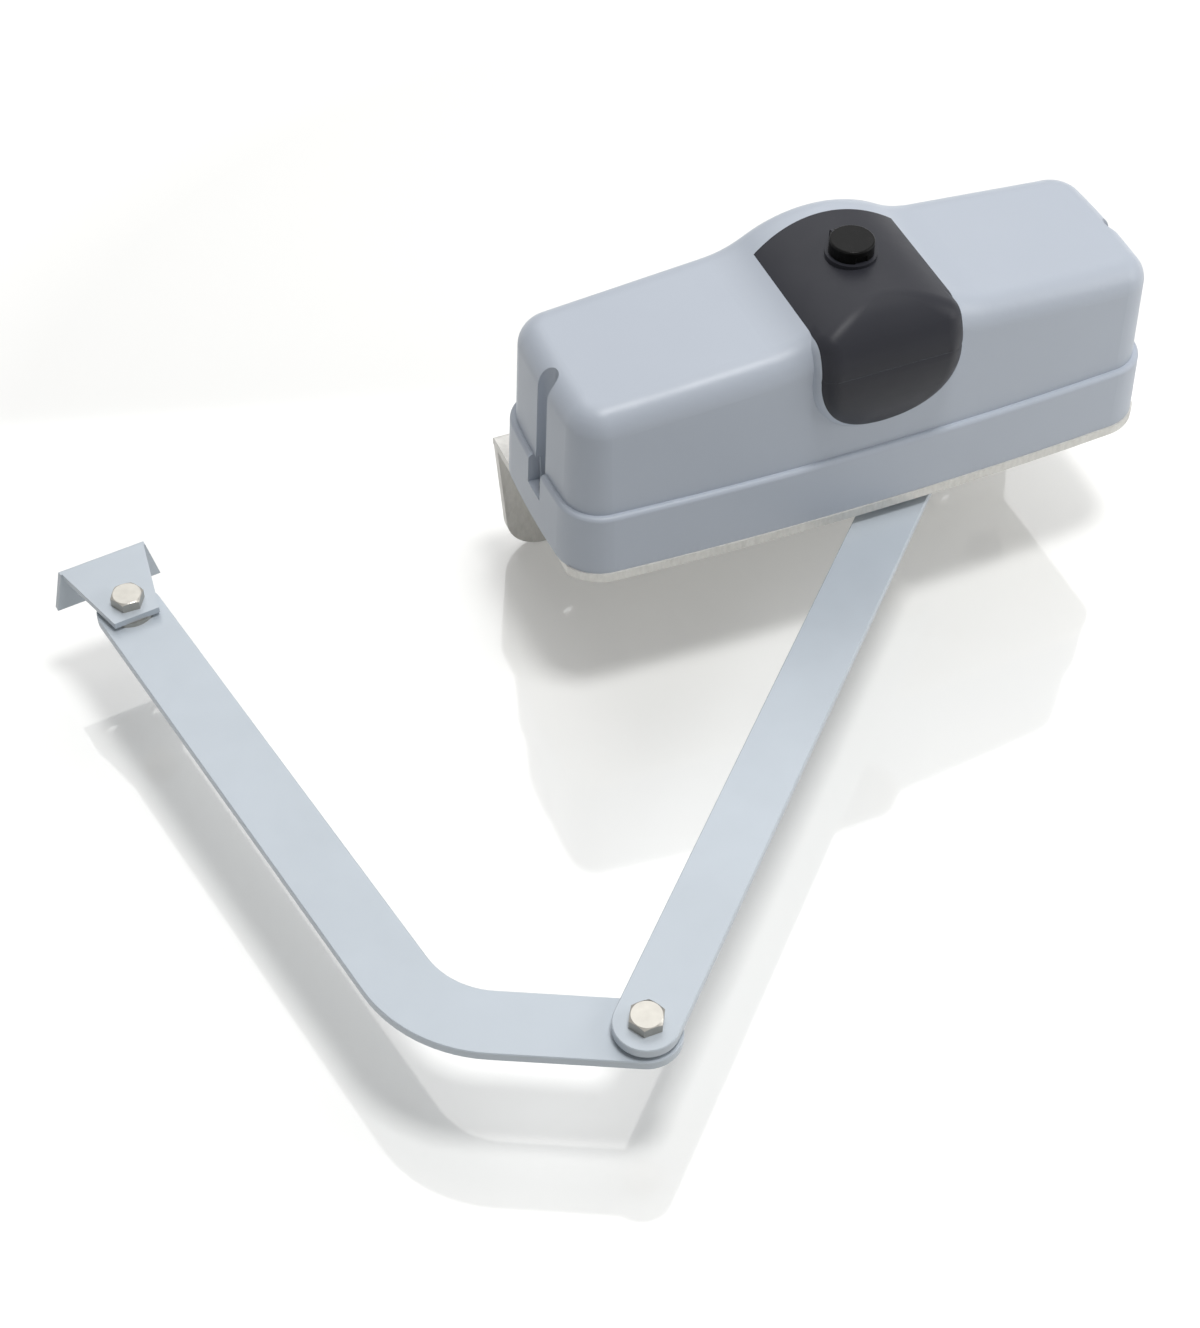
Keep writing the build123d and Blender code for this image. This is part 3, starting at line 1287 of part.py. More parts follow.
finish(gate_bracket, "gate_bracket")
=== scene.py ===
import json
from math import cos, pi, sin

import bmesh
import bpy
from mathutils import Matrix, Vector


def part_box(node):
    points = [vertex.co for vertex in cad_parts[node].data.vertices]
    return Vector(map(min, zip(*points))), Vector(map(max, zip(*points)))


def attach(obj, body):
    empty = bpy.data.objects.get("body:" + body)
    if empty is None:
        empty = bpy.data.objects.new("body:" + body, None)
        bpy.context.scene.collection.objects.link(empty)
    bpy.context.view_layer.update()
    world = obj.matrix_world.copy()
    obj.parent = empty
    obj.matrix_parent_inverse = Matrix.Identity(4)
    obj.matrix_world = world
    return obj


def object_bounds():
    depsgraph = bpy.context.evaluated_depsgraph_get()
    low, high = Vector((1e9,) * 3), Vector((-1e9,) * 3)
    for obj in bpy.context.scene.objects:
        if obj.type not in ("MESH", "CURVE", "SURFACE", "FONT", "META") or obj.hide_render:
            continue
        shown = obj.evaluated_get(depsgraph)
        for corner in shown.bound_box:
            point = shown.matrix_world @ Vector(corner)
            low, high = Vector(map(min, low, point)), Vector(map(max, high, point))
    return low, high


bl_info = {
    "name": "Articulated arm gate opener",
    "version": (1, 0, 0),
    "blender": (4, 5, 0),
    "location": "3D View > Sidebar > Gate opener",
    "description": "Dresses the packed gate opener with finishes, small hardware and a studio",
    "category": "Object",
}

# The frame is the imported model. Its nodes give the places and defaults below.
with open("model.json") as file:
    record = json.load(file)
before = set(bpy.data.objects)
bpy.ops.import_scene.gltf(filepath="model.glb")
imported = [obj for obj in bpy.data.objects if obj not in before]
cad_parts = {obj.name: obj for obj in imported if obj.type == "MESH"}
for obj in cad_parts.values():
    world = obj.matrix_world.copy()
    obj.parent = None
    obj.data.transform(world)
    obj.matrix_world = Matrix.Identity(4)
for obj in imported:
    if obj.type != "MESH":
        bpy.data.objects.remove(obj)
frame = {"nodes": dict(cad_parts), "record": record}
CAD_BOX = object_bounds()
NODES = frame["nodes"]
MM = 0.001

# The camera of the picture: place in metres, turn in radians, lens in pixels of a 1200 by 1328 image
CAMERA_PLACE = (-0.55743, -1.05042, 1.06565)
CAMERA_YAW = 0.398
CAMERA_PITCH = 0.8317
CAMERA_ROLL = 0.0054
CAMERA_FOCAL_PIXELS = 2480.0
IMAGE_LONG_SIDE = 1328.0
SENSOR_WIDTH = 36.0
CLIP_NEAR = 0.01
CLIP_FAR = 50.0

# The world: its strength as a light and in reflections. The camera sees it at full strength.
WORLD_LIGHT = 0.22
WORLD_IN_GLOSS = 0.8

# The place near the middle of the object that all lamps point at
LAMP_TARGET = (-0.1, -0.15, 0.05)

# The floor: its gloss, and how its own light grows, as (distance in metres, strength)
FLOOR_ROUGHNESS = 0.06
FLOOR_IOR = 1.78
FLOOR_GLOW_NEAR = (0.5, 0.14)
FLOOR_GLOW_FAR = (1.4, 0.80)

# The part of a noise's range that holds most of its values
NOISE_LOW = 0.3
NOISE_HIGH = 0.7

# Points of a mesh that lie closer than this, in metres, are merged
MERGE_DISTANCE = 0.001 * MM

# The panel's tongue: straight cuts that make its round edge, the share of the panel's half width
# in which its front edge is looked for, and the normal below which a face of the cover looks forward
TONGUE_STEPS = 72
FRONT_EDGE_SHARE = 0.85
FORWARD_NORMAL_Y = -0.02

# The ends of the pivot bolts: which nut and bolt, and the body that they ride on
PIVOT_BODIES = (("elbow", "drive"), ("gate", "gate"))

# The locking rings: steps of a full turn, and the bevel as a share of the ring's height
RING_STEPS = 64
RING_BEVEL_SHARE = 0.4

# The threads: steps of one turn, and the heights of their profile as shares of the pitch
THREAD_STEPS = 36
CREST_LOW = 0.44
CREST_HIGH = 0.56
FOOT_HIGH = 0.98

# The gland's grip: how many ribs, and how many sides each has
RIB_COUNT = 24
RIB_SIDES = 10


def middle(node):
    """The middle of a node's box, in the row frame."""
    low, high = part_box(node)
    return (Vector(low) + Vector(high)) / 2


def settings():
    return bpy.context.scene.opener_sizes


def colours():
    return bpy.context.scene.opener_colours


def length_property(name, description, default):
    """A length that the user can change, in metres."""
    return bpy.props.FloatProperty(name=name, description=description, default=default, unit="LENGTH")


class OpenerSizes(bpy.types.PropertyGroup):
    """Sizes of the pieces that are added to the frame."""

    tongue_drop: length_property("Tongue drop", "Drop of the panel's tongue under its edge", 46.1 * MM)
    tongue_lift: length_property("Tongue lift", "How far the tongue stands off the cover", 0.04 * MM)
    bolt_radius: length_property("Bolt radius", "Outer radius of the pivot bolts", 5.0 * MM)
    thread_pitch: length_property("Thread pitch", "Pitch of the pivot bolts' threads", 0.75 * MM)
    thread_depth: length_property("Thread depth", "Depth of the pivot bolts' threads", 0.4 * MM)
    thread_reach: length_property("Thread reach", "How far the crests stand off the shank", 0.35 * MM)
    thread_start: length_property("Thread start", "Plain end of a bolt under its thread", 0.1 * MM)
    ring_radius: length_property("Locking ring radius", "Outer radius of a lock nut's ring", 6.9 * MM)
    ring_height: length_property("Locking ring height", "How far the ring shows under its nut", 0.5 * MM)
    ring_clearance: length_property("Locking ring clearance", "Gap between the ring and its bolt", 0.05 * MM)
    rib_radius: length_property("Gland rib radius", "Radius of a grip rib on the cable gland", 0.8 * MM)
    rib_height: length_property("Gland rib height", "Height of a grip rib", 4.0 * MM)
    rib_inset: length_property("Gland rib inset", "How far the ribs stand inside the gland's edge", 2.2 * MM)
    rib_start: length_property("Gland rib start", "How far the ribs start above the gland's end", 0.4 * MM)
    floor_gap: length_property("Floor gap", "How far the floor lies under the object", 0.3 * MM)
    floor_size: length_property("Floor size", "Side of the square floor", 14.0)


def colour_property(name, description, default):
    """A colour that the user can change."""
    return bpy.props.FloatVectorProperty(
        name=name, description=description, default=default, subtype="COLOR", size=3, min=0, max=1
    )


class OpenerColours(bpy.types.PropertyGroup):
    """Colours of the finishes, as linear values."""

    shell: colour_property("Shell", "Moulded cover and base", (0.475, 0.52, 0.59))
    panel: colour_property("Panel", "Dark centre panel", (0.030, 0.031, 0.039))
    cap: colour_property("Cap", "Weather cap", (0.005, 0.005, 0.005))
    arm: colour_property("Arms", "Powder paint on the arms", (0.55, 0.605, 0.66))
    bracket: colour_property("Bracket", "Silver paint on the wall bracket", (0.60, 0.59, 0.56))
    rubbed: colour_property("Rubbed bracket", "Rubbed places of the wall bracket", (0.78, 0.77, 0.74))
    steel: colour_property("Steel", "Turned stainless steel", (0.42, 0.405, 0.37))
    floor: colour_property("Floor", "Studio floor", (0.92, 0.92, 0.90))


class Finish:
    """A material under construction: its nodes, and short ways to add more."""

    def __init__(self, name, colour, roughness, metallic=0.0):
        self.material = bpy.data.materials.new(name)
        self.material.use_nodes = True
        self.tree = self.material.node_tree
        self.shader = self.tree.nodes["Principled BSDF"]
        self.shader.inputs["Base Color"].default_value = (*colour, 1)
        self.shader.inputs["Roughness"].default_value = roughness
        self.shader.inputs["Metallic"].default_value = metallic
        self.colour = colour
        self.coordinates = self.tree.nodes.new("ShaderNodeTexCoord")
        self.bump_before = None

    def link(self, output, socket):
        self.tree.links.new(output, socket)

    def mapped(self, scale):
        """Object coordinates, stretched by three factors."""
        mapping = self.tree.nodes.new("ShaderNodeMapping")
        mapping.inputs["Scale"].default_value = scale
        self.link(self.coordinates.outputs["Object"], mapping.inputs["Vector"])
        return mapping.outputs["Vector"]

    def noise(self, scale, detail=3.0, stretch=(1, 1, 1)):
        node = self.tree.nodes.new("ShaderNodeTexNoise")
        node.inputs["Scale"].default_value = scale
        node.inputs["Detail"].default_value = detail
        self.link(self.mapped(stretch), node.inputs["Vector"])
        return node.outputs["Fac"]

    def ramp(self, value, start, end):
        """Maps a value between two (value, result) pairs."""
        node = self.tree.nodes.new("ShaderNodeMapRange")
        node.inputs["From Min"].default_value, node.inputs["To Min"].default_value = start
        node.inputs["From Max"].default_value, node.inputs["To Max"].default_value = end
        self.link(value, node.inputs["Value"])
        return node.outputs["Result"]

    def spread(self, value, low, high):
        """Maps a noise to low..high."""
        return self.ramp(value, (NOISE_LOW, low), (NOISE_HIGH, high))

    def tint(self, value, darker, lighter):
        """Varies the base colour between two shades of it, and gives the mixed colour."""
        mix = self.tree.nodes.new("ShaderNodeMix")
        mix.data_type = "RGBA"
        mix.inputs["A"].default_value = (*[part * darker for part in self.colour], 1)
        mix.inputs["B"].default_value = (*[min(1, part * lighter) for part in self.colour], 1)
        self.link(self.spread(value, 0, 1), mix.inputs["Factor"])
        self.link(mix.outputs["Result"], self.shader.inputs["Base Color"])
        return mix.outputs["Result"]

    def blotch_roughness(self, value, low, high):
        self.link(self.spread(value, low, high), self.shader.inputs["Roughness"])

    def bump(self, value, distance, strength=1.0):
        """Adds fine relief on top of the relief that is there."""
        node = self.tree.nodes.new("ShaderNodeBump")
        node.inputs["Distance"].default_value = distance
        node.inputs["Strength"].default_value = strength
        self.link(value, node.inputs["Height"])
        if self.bump_before:
            self.link(self.bump_before, node.inputs["Normal"])
        self.bump_before = node.outputs["Normal"]
        self.link(self.bump_before, self.shader.inputs["Normal"])


def moulded_shell():
    """Pale satin housing with a fine mould grain."""
    finish = Finish("moulded_shell", colours().shell, 0.42)
    finish.shader.inputs["Coat Weight"].default_value = 0.10
    finish.shader.inputs["Coat Roughness"].default_value = 0.35
    finish.tint(finish.noise(9, 4), 0.985, 1.015)
    finish.blotch_roughness(finish.noise(40, 5), 0.39, 0.46)
    finish.bump(finish.noise(2600, 2), 0.00003, 0.35)
    finish.bump(finish.noise(260, 3), 0.00004, 0.25)
    return finish.material


def satin_panel():
    """Dark grey panel with a soft grain."""
    finish = Finish("satin_panel", colours().panel, 0.40)
    finish.shader.inputs["Specular IOR Level"].default_value = 0.20
    finish.tint(finish.noise(14, 3), 0.95, 1.05)
    finish.blotch_roughness(finish.noise(60, 4), 0.37, 0.44)
    finish.bump(finish.noise(3200, 2), 0.00003, 0.4)
    return finish.material


def cap_plastic():
    """Black satin cap."""
    finish = Finish("cap_plastic", colours().cap, 0.30)
    finish.shader.inputs["Specular IOR Level"].default_value = 0.10
    finish.blotch_roughness(finish.noise(220, 3), 0.27, 0.34)
    finish.bump(finish.noise(2600, 2), 0.00001, 0.12)
    return finish.material


def silver_paint():
    """Silver paint over sheet, rubbed brighter in short streaks."""
    finish = Finish("silver_paint", colours().bracket, 0.46, 0.45)
    paint = finish.tint(finish.noise(30, 5), 0.93, 1.05)
    rubbed = finish.tree.nodes.new("ShaderNodeMix")
    rubbed.data_type = "RGBA"
    rubbed.inputs["B"].default_value = (*colours().rubbed, 1)
    finish.link(paint, rubbed.inputs["A"])
    finish.link(finish.spread(finish.noise(420, 5, (1, 1, 0.35)), 0.1, 0.6), rubbed.inputs["Factor"])
    finish.link(rubbed.outputs["Result"], finish.shader.inputs["Base Color"])
    finish.blotch_roughness(finish.noise(160, 4), 0.40, 0.56)
    finish.bump(finish.noise(900, 4, (1, 1, 0.35)), 0.00008, 0.4)
    return finish.material


def powder_paint():
    """Powder paint on the arms, with an orange-peel surface."""
    finish = Finish("powder_paint", colours().arm, 0.36, 0.1)
    finish.tint(finish.noise(18, 4), 0.97, 1.02)
    finish.blotch_roughness(finish.noise(90, 4), 0.35, 0.43)
    finish.bump(finish.noise(520, 3), 0.00004, 0.35)
    finish.bump(finish.noise(2400, 2), 0.00002, 0.3)
    return finish.material


def turned_steel():
    """Stainless hardware with fine tool marks."""
    finish = Finish("turned_steel", colours().steel, 0.32, 1.0)
    finish.tint(finish.noise(180, 4), 0.93, 1.04)
    finish.blotch_roughness(finish.noise(700, 3), 0.28, 0.38)
    finish.bump(finish.noise(2500, 3, (1, 1, 0.2)), 0.00001, 0.3)
    return finish.material


def machined_bronze():
    """Bronze of the worm wheel and the bushes."""
    finish = Finish("machined_bronze", (0.56, 0.36, 0.15), 0.3, 1.0)
    finish.tint(finish.noise(120, 4), 0.86, 1.08)
    finish.blotch_roughness(finish.noise(500, 3), 0.22, 0.40)
    finish.bump(finish.noise(1200, 3, (1, 1, 0.1)), 0.00003, 0.4)
    return finish.material


def cast_alloy():
    """Blasted aluminium casting."""
    finish = Finish("cast_alloy", (0.60, 0.60, 0.61), 0.5, 0.9)
    finish.tint(finish.noise(70, 5), 0.88, 1.06)
    finish.blotch_roughness(finish.noise(300, 4), 0.42, 0.62)
    finish.bump(finish.noise(900, 4), 0.00010, 0.6)
    return finish.material


def ground_steel():
    """Ground rings of the bearings."""
    finish = Finish("ground_steel", (0.66, 0.66, 0.68), 0.16, 1.0)
    finish.blotch_roughness(finish.noise(400, 3), 0.12, 0.24)
    finish.bump(finish.noise(1500, 2, (1, 1, 0.1)), 0.00001, 0.4)
    return finish.material


def oiled_steel():
    """Gears and shafts, machined and oiled."""
    finish = Finish("oiled_steel", (0.36, 0.36, 0.38), 0.28, 1.0)
    finish.tint(finish.noise(60, 5), 0.82, 1.12)
    finish.blotch_roughness(finish.noise(240, 4), 0.18, 0.38)
    finish.bump(finish.noise(1300, 3, (1, 1, 0.15)), 0.00003, 0.4)
    return finish.material


def seal_rubber():
    """Matte black rubber."""
    finish = Finish("seal_rubber", (0.018, 0.018, 0.018), 0.75)
    finish.tint(finish.noise(90, 4), 0.8, 1.3)
    finish.bump(finish.noise(800, 3), 0.00005, 0.5)
    return finish.material


def motor_paint():
    """Dark paint of the motor."""
    finish = Finish("motor_paint", (0.045, 0.045, 0.05), 0.4)
    finish.tint(finish.noise(50, 4), 0.85, 1.15)
    finish.bump(finish.noise(700, 3), 0.00005, 0.5)
    return finish.material


def black_plastic():
    """Matte black moulding of the gland and the motor's end."""
    finish = Finish("black_plastic", (0.016, 0.016, 0.017), 0.5)
    finish.blotch_roughness(finish.noise(200, 3), 0.42, 0.58)
    finish.bump(finish.noise(1600, 3), 0.00004, 0.5)
    return finish.material


def board_laminate():
    """Green lacquer of the circuit boards."""
    finish = Finish("board_laminate", (0.010, 0.110, 0.045), 0.3)
    finish.tint(finish.noise(900, 2), 0.8, 1.15)
    finish.bump(finish.noise(2000, 2), 0.00002, 0.5)
    return finish.material


def terminal_plastic():
    """Green plastic of the terminals."""
    finish = Finish("terminal_plastic", (0.03, 0.26, 0.07), 0.45)
    finish.tint(finish.noise(200, 3), 0.92, 1.08)
    finish.bump(finish.noise(1800, 2), 0.00003, 0.5)
    return finish.material


def ring_nylon():
    """Locking ring of a nut, pale translucent nylon."""
    finish = Finish("ring_nylon", (0.72, 0.74, 0.76), 0.45)
    finish.shader.inputs["Subsurface Weight"].default_value = 0.2
    finish.shader.inputs["Subsurface Radius"].default_value = (0.001, 0.001, 0.001)
    finish.tint(finish.noise(300, 3), 0.94, 1.04)
    finish.bump(finish.noise(1500, 2), 0.00002, 0.5)
    return finish.material


# The finish that stands for each material slot of the record
SLOT_FINISHES = {
    "pale_shell": moulded_shell,
    "dark_panel": satin_panel,
    "black_cap": cap_plastic,
    "bracket_steel": silver_paint,
    "arm_paint": powder_paint,
    "stainless": turned_steel,
    "bronze": machined_bronze,
    "cast_alloy": cast_alloy,
    "bearing_steel": ground_steel,
    "gear_steel": oiled_steel,
    "black_rubber": seal_rubber,
    "motor_paint": motor_paint,
    "black_plastic": black_plastic,
    "green_board": board_laminate,
    "green_terminals": terminal_plastic,
}


def finish_for(slot):
    """The slot's material, made when it is first asked for."""
    maker = SLOT_FINISHES[slot]
    return bpy.data.materials.get(maker.__name__) or maker()


def new_piece(name, mesh_builder, material, body):
    """Turns a bmesh into an object at the origin that rides on a body."""
    mesh = bpy.data.meshes.new(name)
    bmesh.ops.recalc_face_normals(mesh_builder, faces=mesh_builder.faces)
    mesh_builder.to_mesh(mesh)
    mesh_builder.free()
    piece = bpy.data.objects.new(name, mesh)
    bpy.context.scene.collection.objects.link(piece)
    mesh.materials.append(material)
    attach(piece, body)
    return piece


def turned_ring(profile, centre, steps):
    """A ring turned from a closed profile of (radius, height) points."""
    ring = bmesh.new()
    points = [ring.verts.new((centre.x + radius, centre.y, centre.z + height)) for radius, height in profile]
    for index, point in enumerate(points):
        ring.edges.new((point, points[(index + 1) % len(points)]))
    bmesh.ops.spin(
        ring,
        geom=ring.verts[:] + ring.edges[:],
        cent=centre,
        axis=(0, 0, 1),
        angle=2 * pi,
        steps=steps,
        use_merge=True,
        use_duplicate=False,
    )
    bmesh.ops.remove_doubles(ring, verts=ring.verts, dist=MERGE_DISTANCE)
    return ring


def math_node(tree, operation, *values):
    """A math node. Each value is an output to link or a plain number."""
    node = tree.nodes.new("ShaderNodeMath")
    node.operation = operation
    for socket, value in zip(node.inputs, values):
        if isinstance(value, bpy.types.NodeSocket):
            tree.links.new(value, socket)
        else:
            socket.default_value = value
    return node.outputs["Value"]


class DressNodes(bpy.types.Operator):
    """Gives every node of the frame its finish"""

    bl_idname = "opener.dress_nodes"
    bl_label = "Finishes"

    def execute(self, context):
        for entry in frame["record"]["subparts"]:
            node = NODES[entry["node"]]
            node.data.materials.clear()
            node.data.materials.append(finish_for(entry["material_slot"]))
        return {"FINISHED"}


class MakePanelTongue(bpy.types.Operator):
    """Makes the round lower tongue of the dark panel, a skin on the front of the nose"""

    bl_idname = "opener.panel_tongue"
    bl_label = "Panel tongue"

    def execute(self, context):
        lift = settings().tongue_lift
        panel = NODES["centre_panel"].data
        low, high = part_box("centre_panel")
        radius = (high[0] - low[0]) / 2
        middle_x = low[0] + radius
        front_half = FRONT_EDGE_SHARE * radius
        edge_z = min(vert.co.z for vert in panel.vertices if abs(vert.co.x - middle_x) < front_half)
        centre = Vector((middle_x, 0, edge_z - settings().tongue_drop + radius))
        back = middle("top_cover").y
        skin = bmesh.new()
        skin.from_mesh(NODES["top_cover"].data)
        skin.normal_update()
        other = [
            face
            for face in skin.faces
            if face.normal.y > FORWARD_NORMAL_Y or face.calc_center_median().y > back
        ]
        bmesh.ops.delete(skin, geom=other, context="FACES")
        self.trim(skin, Vector((0, 0, edge_z)), Vector((0, 0, 1)))
        for step in range(TONGUE_STEPS + 1):
            angle = pi + pi * step / TONGUE_STEPS
            outward = Vector((cos(angle), 0, sin(angle)))
            self.trim(skin, centre + outward * radius, outward)
        bmesh.ops.remove_doubles(skin, verts=skin.verts, dist=MERGE_DISTANCE)
        skin.normal_update()
        normals = {vert: vert.normal.copy() for vert in skin.verts}
        for face in skin.faces:
            face.smooth = True
        rim = bmesh.ops.extrude_edge_only(skin, edges=[edge for edge in skin.edges if edge.is_boundary])
        for vert in skin.verts:
            if vert in normals:
                vert.co += normals[vert] * lift
        for item in rim["geom"]:
            if isinstance(item, bmesh.types.BMFace):
                item.smooth = False
        new_piece("panel_tongue", skin, finish_for("dark_panel"), "housing")
        return {"FINISHED"}

    def trim(self, skin, place, outward):
        """Cuts the skin by a plane and drops what lies outside."""
        everything = skin.verts[:] + skin.edges[:] + skin.faces[:]
        bmesh.ops.bisect_plane(skin, geom=everything, plane_co=place, plane_no=outward, clear_outer=True)


class MakeLockingRings(bpy.types.Operator):
    """Makes the nylon rings that show in the two lock nuts"""

    bl_idname = "opener.locking_rings"
    bl_label = "Locking rings"

    def execute(self, context):
        sizes = settings()
        outer = sizes.ring_radius
        inner = sizes.bolt_radius + sizes.ring_clearance
        height = sizes.ring_height
        bevel = height * RING_BEVEL_SHARE
        profile = [
            (inner, 0),
            (inner + bevel, -height),
            (outer - bevel, -height),
            (outer, -height + bevel),
            (outer, 0),
        ]
        nylon = ring_nylon()
        for end, body in PIVOT_BODIES:
            low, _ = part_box(f"{end}_nut")
            centre = middle(f"{end}_nut")
            centre.z = low[2]
            ring = turned_ring(profile, centre, RING_STEPS)
            new_piece(f"{end}_locking_ring", ring, nylon, body)
        return {"FINISHED"}


def thread_sleeve(centre, bottom, top, radius, depth, pitch):
    """A threaded sleeve round a bolt: a V profile spun along a helix."""
    turns = max(1, round((top - bottom) / pitch) - 1)
    sleeve = bmesh.new()
    start = Vector((centre.x, centre.y, bottom))
    profile = [(-depth, 0), (0, pitch * CREST_LOW), (0, pitch * CREST_HIGH), (-depth, pitch * FOOT_HIGH)]
    points = [sleeve.verts.new(start + Vector((radius + out, 0, up))) for out, up in profile]
    sleeve.faces.new(points)
    bmesh.ops.spin(
        sleeve,
        geom=sleeve.faces[:],
        cent=start,
        axis=(0, 0, 1),
        dvec=(0, 0, pitch / THREAD_STEPS),
        angle=2 * pi * turns,
        steps=THREAD_STEPS * turns,
        use_duplicate=False,
    )
    return sleeve


class MakeBoltThreads(bpy.types.Operator):
    """Makes the threads that show on the ends of the two pivot bolts"""

    bl_idname = "opener.bolt_threads"
    bl_label = "Bolt threads"

    def execute(self, context):
        sizes = settings()
        for end, body in PIVOT_BODIES:
            nut_low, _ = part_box(f"{end}_nut")
            bolt_low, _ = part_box(f"{end}_bolt")
            centre = middle(f"{end}_bolt")
            sleeve = thread_sleeve(
                centre,
                bolt_low[2] + sizes.thread_start,
                nut_low[2] - sizes.ring_height,
                sizes.bolt_radius + sizes.thread_reach,
                sizes.thread_depth,
                sizes.thread_pitch,
            )
            new_piece(f"{end}_bolt_thread", sleeve, finish_for("stainless"), body)
        return {"FINISHED"}


class MakeGlandRibs(bpy.types.Operator):
    """Makes the grip ribs round the cable gland's clamping nut"""

    bl_idname = "opener.gland_ribs"
    bl_label = "Gland ribs"

    def execute(self, context):
        sizes = settings()
        low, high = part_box("cable_gland")
        ring_radius = (high[1] - low[1]) / 2 - sizes.rib_inset
        ring_middle = middle("cable_gland")
        ring_middle.z = low[2] + sizes.rib_start + sizes.rib_height / 2
        ribs = bmesh.new()
        for index in range(RIB_COUNT):
            angle = 2 * pi * index / RIB_COUNT
            outward = Vector((cos(angle), sin(angle), 0))
            bmesh.ops.create_cone(
                ribs,
                cap_ends=True,
                segments=RIB_SIDES,
                radius1=sizes.rib_radius,
                radius2=sizes.rib_radius,
                depth=sizes.rib_height,
                matrix=Matrix.Translation(ring_middle + outward * ring_radius),
            )
        new_piece("gland_grip_ribs", ribs, finish_for("black_plastic"), "housing")
        return {"FINISHED"}


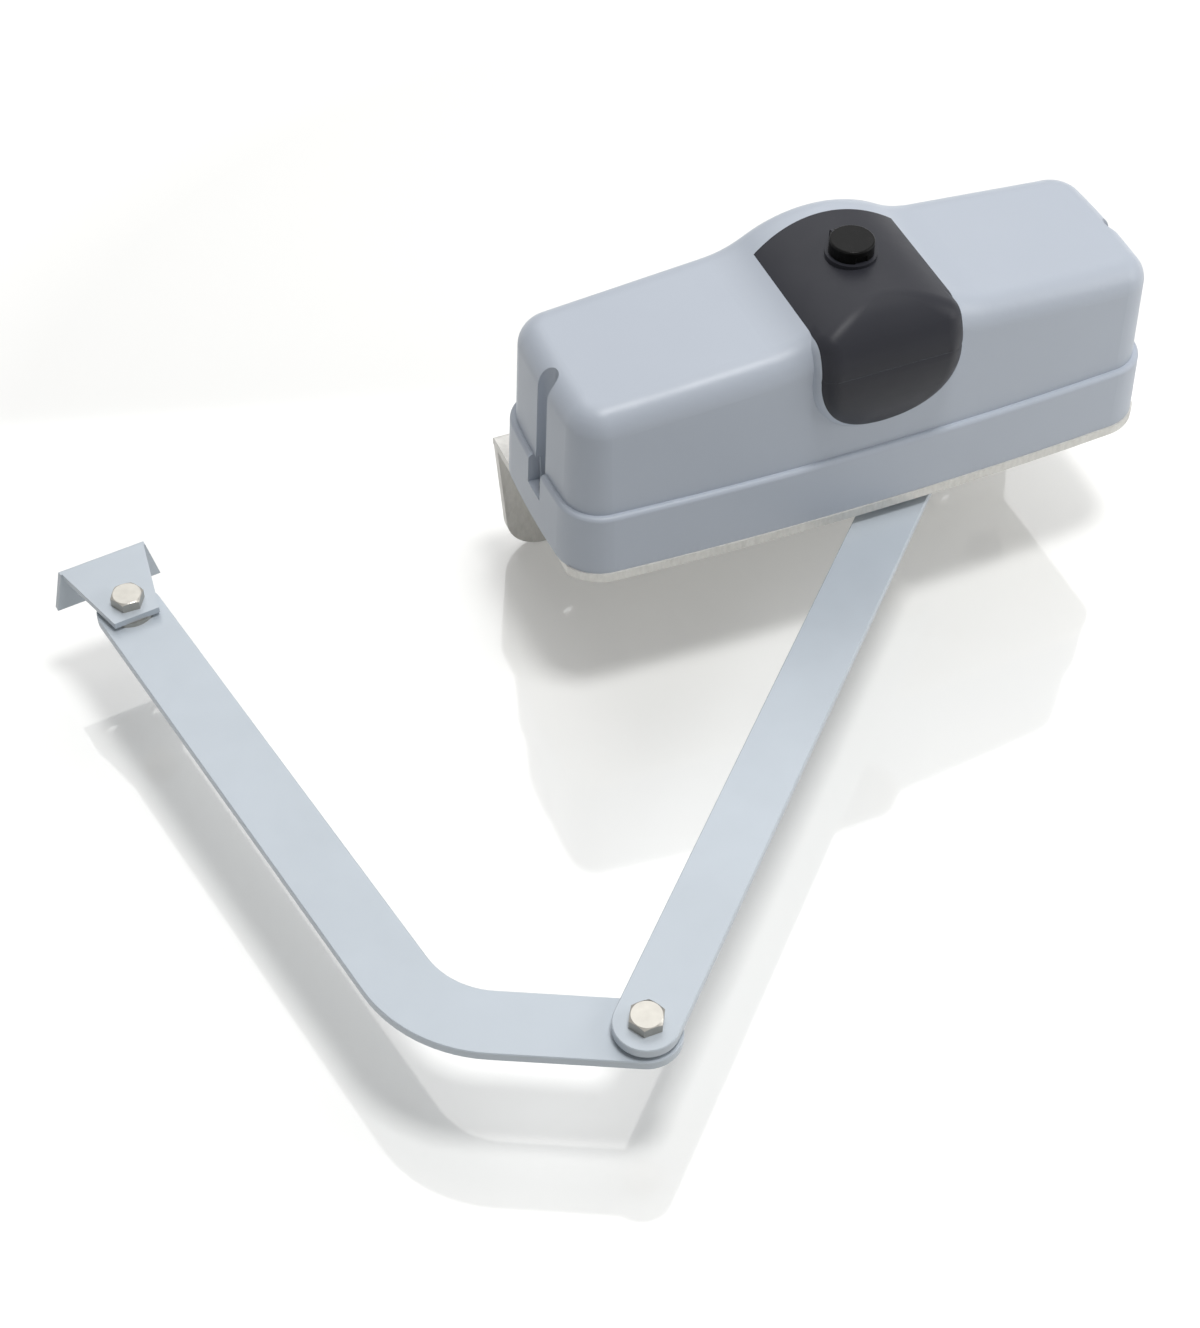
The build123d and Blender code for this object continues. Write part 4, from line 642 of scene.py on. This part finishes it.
class MakeStage(bpy.types.Operator):
    """Makes the floor, the lamps, the world and the camera"""

    bl_idname = "opener.stage"
    bl_label = "Studio"

    def execute(self, context):
        scene = context.scene
        scene.view_settings.view_transform = "Standard"
        self.make_floor(scene)
        self.make_world(scene)
        self.make_lamps(scene)
        self.make_camera(scene)
        return {"FINISHED"}

    def make_floor(self, scene):
        floor_mesh = bpy.data.meshes.new("studio_floor")
        sheet = bmesh.new()
        place = Matrix.Translation((0, 0, CAD_BOX[0][2] - settings().floor_gap))
        bmesh.ops.create_grid(sheet, x_segments=2, y_segments=2, size=settings().floor_size / 2, matrix=place)
        sheet.to_mesh(floor_mesh)
        sheet.free()
        floor = bpy.data.objects.new("studio_floor", floor_mesh)
        scene.collection.objects.link(floor)
        floor_mesh.materials.append(self.floor_material())

    def floor_material(self):
        """White glossy floor: it keeps shadows and a faint reflection, and its far parts look white."""
        finish = Finish("studio_floor", colours().floor, FLOOR_ROUGHNESS)
        finish.shader.inputs["IOR"].default_value = FLOOR_IOR
        tree = finish.tree
        distance = tree.nodes.new("ShaderNodeVectorMath")
        distance.operation = "LENGTH"
        finish.link(finish.coordinates.outputs["Object"], distance.inputs[0])
        growth = finish.ramp(distance.outputs["Value"], FLOOR_GLOW_NEAR, FLOOR_GLOW_FAR)
        path = tree.nodes.new("ShaderNodeLightPath")
        seen = math_node(tree, "MAXIMUM", path.outputs["Is Camera Ray"], path.outputs["Is Glossy Ray"])
        seen = math_node(tree, "MAXIMUM", seen, path.outputs["Is Transmission Ray"])
        glow = tree.nodes.new("ShaderNodeEmission")
        glow.inputs["Color"].default_value = (1, 1, 1, 1)
        finish.link(math_node(tree, "MULTIPLY", seen, growth), glow.inputs["Strength"])
        add = tree.nodes.new("ShaderNodeAddShader")
        finish.link(finish.shader.outputs["BSDF"], add.inputs[0])
        finish.link(glow.outputs["Emission"], add.inputs[1])
        finish.link(add.outputs["Shader"], tree.nodes["Material Output"].inputs["Surface"])
        return finish.material

    def make_world(self, scene):
        """A soft pale world that shows as white to the camera and in gloss."""
        world = bpy.data.worlds.new("studio_world")
        scene.world = world
        world.use_nodes = True
        tree = world.node_tree
        light = tree.nodes["Background"]
        light.inputs["Color"].default_value = (1, 1, 1, 1)
        light.inputs["Strength"].default_value = WORLD_LIGHT
        white = tree.nodes.new("ShaderNodeBackground")
        white.inputs["Color"].default_value = (1, 1, 1, 1)
        path = tree.nodes.new("ShaderNodeLightPath")
        camera_ray = path.outputs["Is Camera Ray"]
        strength = math_node(tree, "MULTIPLY_ADD", camera_ray, 1 - WORLD_IN_GLOSS, WORLD_IN_GLOSS)
        tree.links.new(strength, white.inputs["Strength"])
        mix = tree.nodes.new("ShaderNodeMixShader")
        seen = math_node(tree, "MAXIMUM", camera_ray, path.outputs["Is Glossy Ray"])
        tree.links.new(seen, mix.inputs["Fac"])
        tree.links.new(light.outputs["Background"], mix.inputs[1])
        tree.links.new(white.outputs["Background"], mix.inputs[2])
        tree.links.new(mix.outputs["Shader"], tree.nodes["World Output"].inputs["Surface"])

    def make_lamps(self, scene):
        """A soft box overhead, a large card behind that shows in the tops, and a soft box on the right."""
        # Name, place, width, depth and power
        lamps = (
            ("overhead_box", (0.15, -0.42, 3.0), 0.60, 0.60, 40.0),
            ("back_card", (0.20, 0.85, 1.55), 1.8, 1.4, 11.0),
            ("right_box", (1.45, -0.80, 0.95), 1.0, 1.0, 9.0),
        )
        target = Vector(LAMP_TARGET)
        for name, place, width, depth, power in lamps:
            data = bpy.data.lights.new(name, "AREA")
            data.shape = "RECTANGLE"
            data.size = width
            data.size_y = depth
            data.energy = power
            lamp = bpy.data.objects.new(name, data)
            lamp.location = place
            lamp.rotation_euler = (target - Vector(place)).to_track_quat("-Z", "Y").to_euler()
            lamp.visible_camera = False
            scene.collection.objects.link(lamp)

    def make_camera(self, scene):
        """The camera of the picture."""
        data = bpy.data.cameras.new("picture_camera")
        data.sensor_fit = "AUTO"
        data.sensor_width = SENSOR_WIDTH
        data.lens = CAMERA_FOCAL_PIXELS / IMAGE_LONG_SIDE * SENSOR_WIDTH
        data.clip_start = CLIP_NEAR
        data.clip_end = CLIP_FAR
        forward = Vector(
            (sin(CAMERA_YAW) * cos(CAMERA_PITCH), cos(CAMERA_YAW) * cos(CAMERA_PITCH), -sin(CAMERA_PITCH))
        )
        level = Vector((cos(CAMERA_YAW), -sin(CAMERA_YAW), 0))
        upward = level.cross(forward)
        right = cos(CAMERA_ROLL) * level + sin(CAMERA_ROLL) * upward
        up = -sin(CAMERA_ROLL) * level + cos(CAMERA_ROLL) * upward
        turn = Matrix((right, up, -forward)).transposed()
        camera = bpy.data.objects.new("picture_camera", data)
        camera.matrix_world = Matrix.Translation(CAMERA_PLACE) @ turn.to_4x4()
        scene.collection.objects.link(camera)
        scene.camera = camera


STEPS = (DressNodes, MakePanelTongue, MakeLockingRings, MakeBoltThreads, MakeGlandRibs, MakeStage)


class OpenerPanel(bpy.types.Panel):
    """Lists the sizes, the colours and the steps that build the opener"""

    bl_idname = "VIEW3D_PT_gate_opener"
    bl_label = "Gate opener"
    bl_space_type = "VIEW_3D"
    bl_region_type = "UI"
    bl_category = "Gate opener"

    def draw(self, context):
        layout = self.layout
        for group in (settings(), colours()):
            box = layout.box()
            for name in group.bl_rna.properties.keys():
                if name not in ("rna_type", "name"):
                    box.prop(group, name)
        for step in STEPS:
            layout.operator(step.bl_idname)


CLASSES = (OpenerSizes, OpenerColours, *STEPS, OpenerPanel)


def register():
    for item in CLASSES:
        bpy.utils.register_class(item)
    bpy.types.Scene.opener_sizes = bpy.props.PointerProperty(type=OpenerSizes)
    bpy.types.Scene.opener_colours = bpy.props.PointerProperty(type=OpenerColours)


def unregister():
    del bpy.types.Scene.opener_colours
    del bpy.types.Scene.opener_sizes
    for item in reversed(CLASSES):
        bpy.utils.unregister_class(item)


def main():
    """Builds everything in order."""
    register()
    bpy.ops.opener.dress_nodes()
    bpy.ops.opener.panel_tongue()
    bpy.ops.opener.locking_rings()
    bpy.ops.opener.bolt_threads()
    bpy.ops.opener.gland_ribs()
    bpy.ops.opener.stage()


if __name__ == "__main__":
    main()
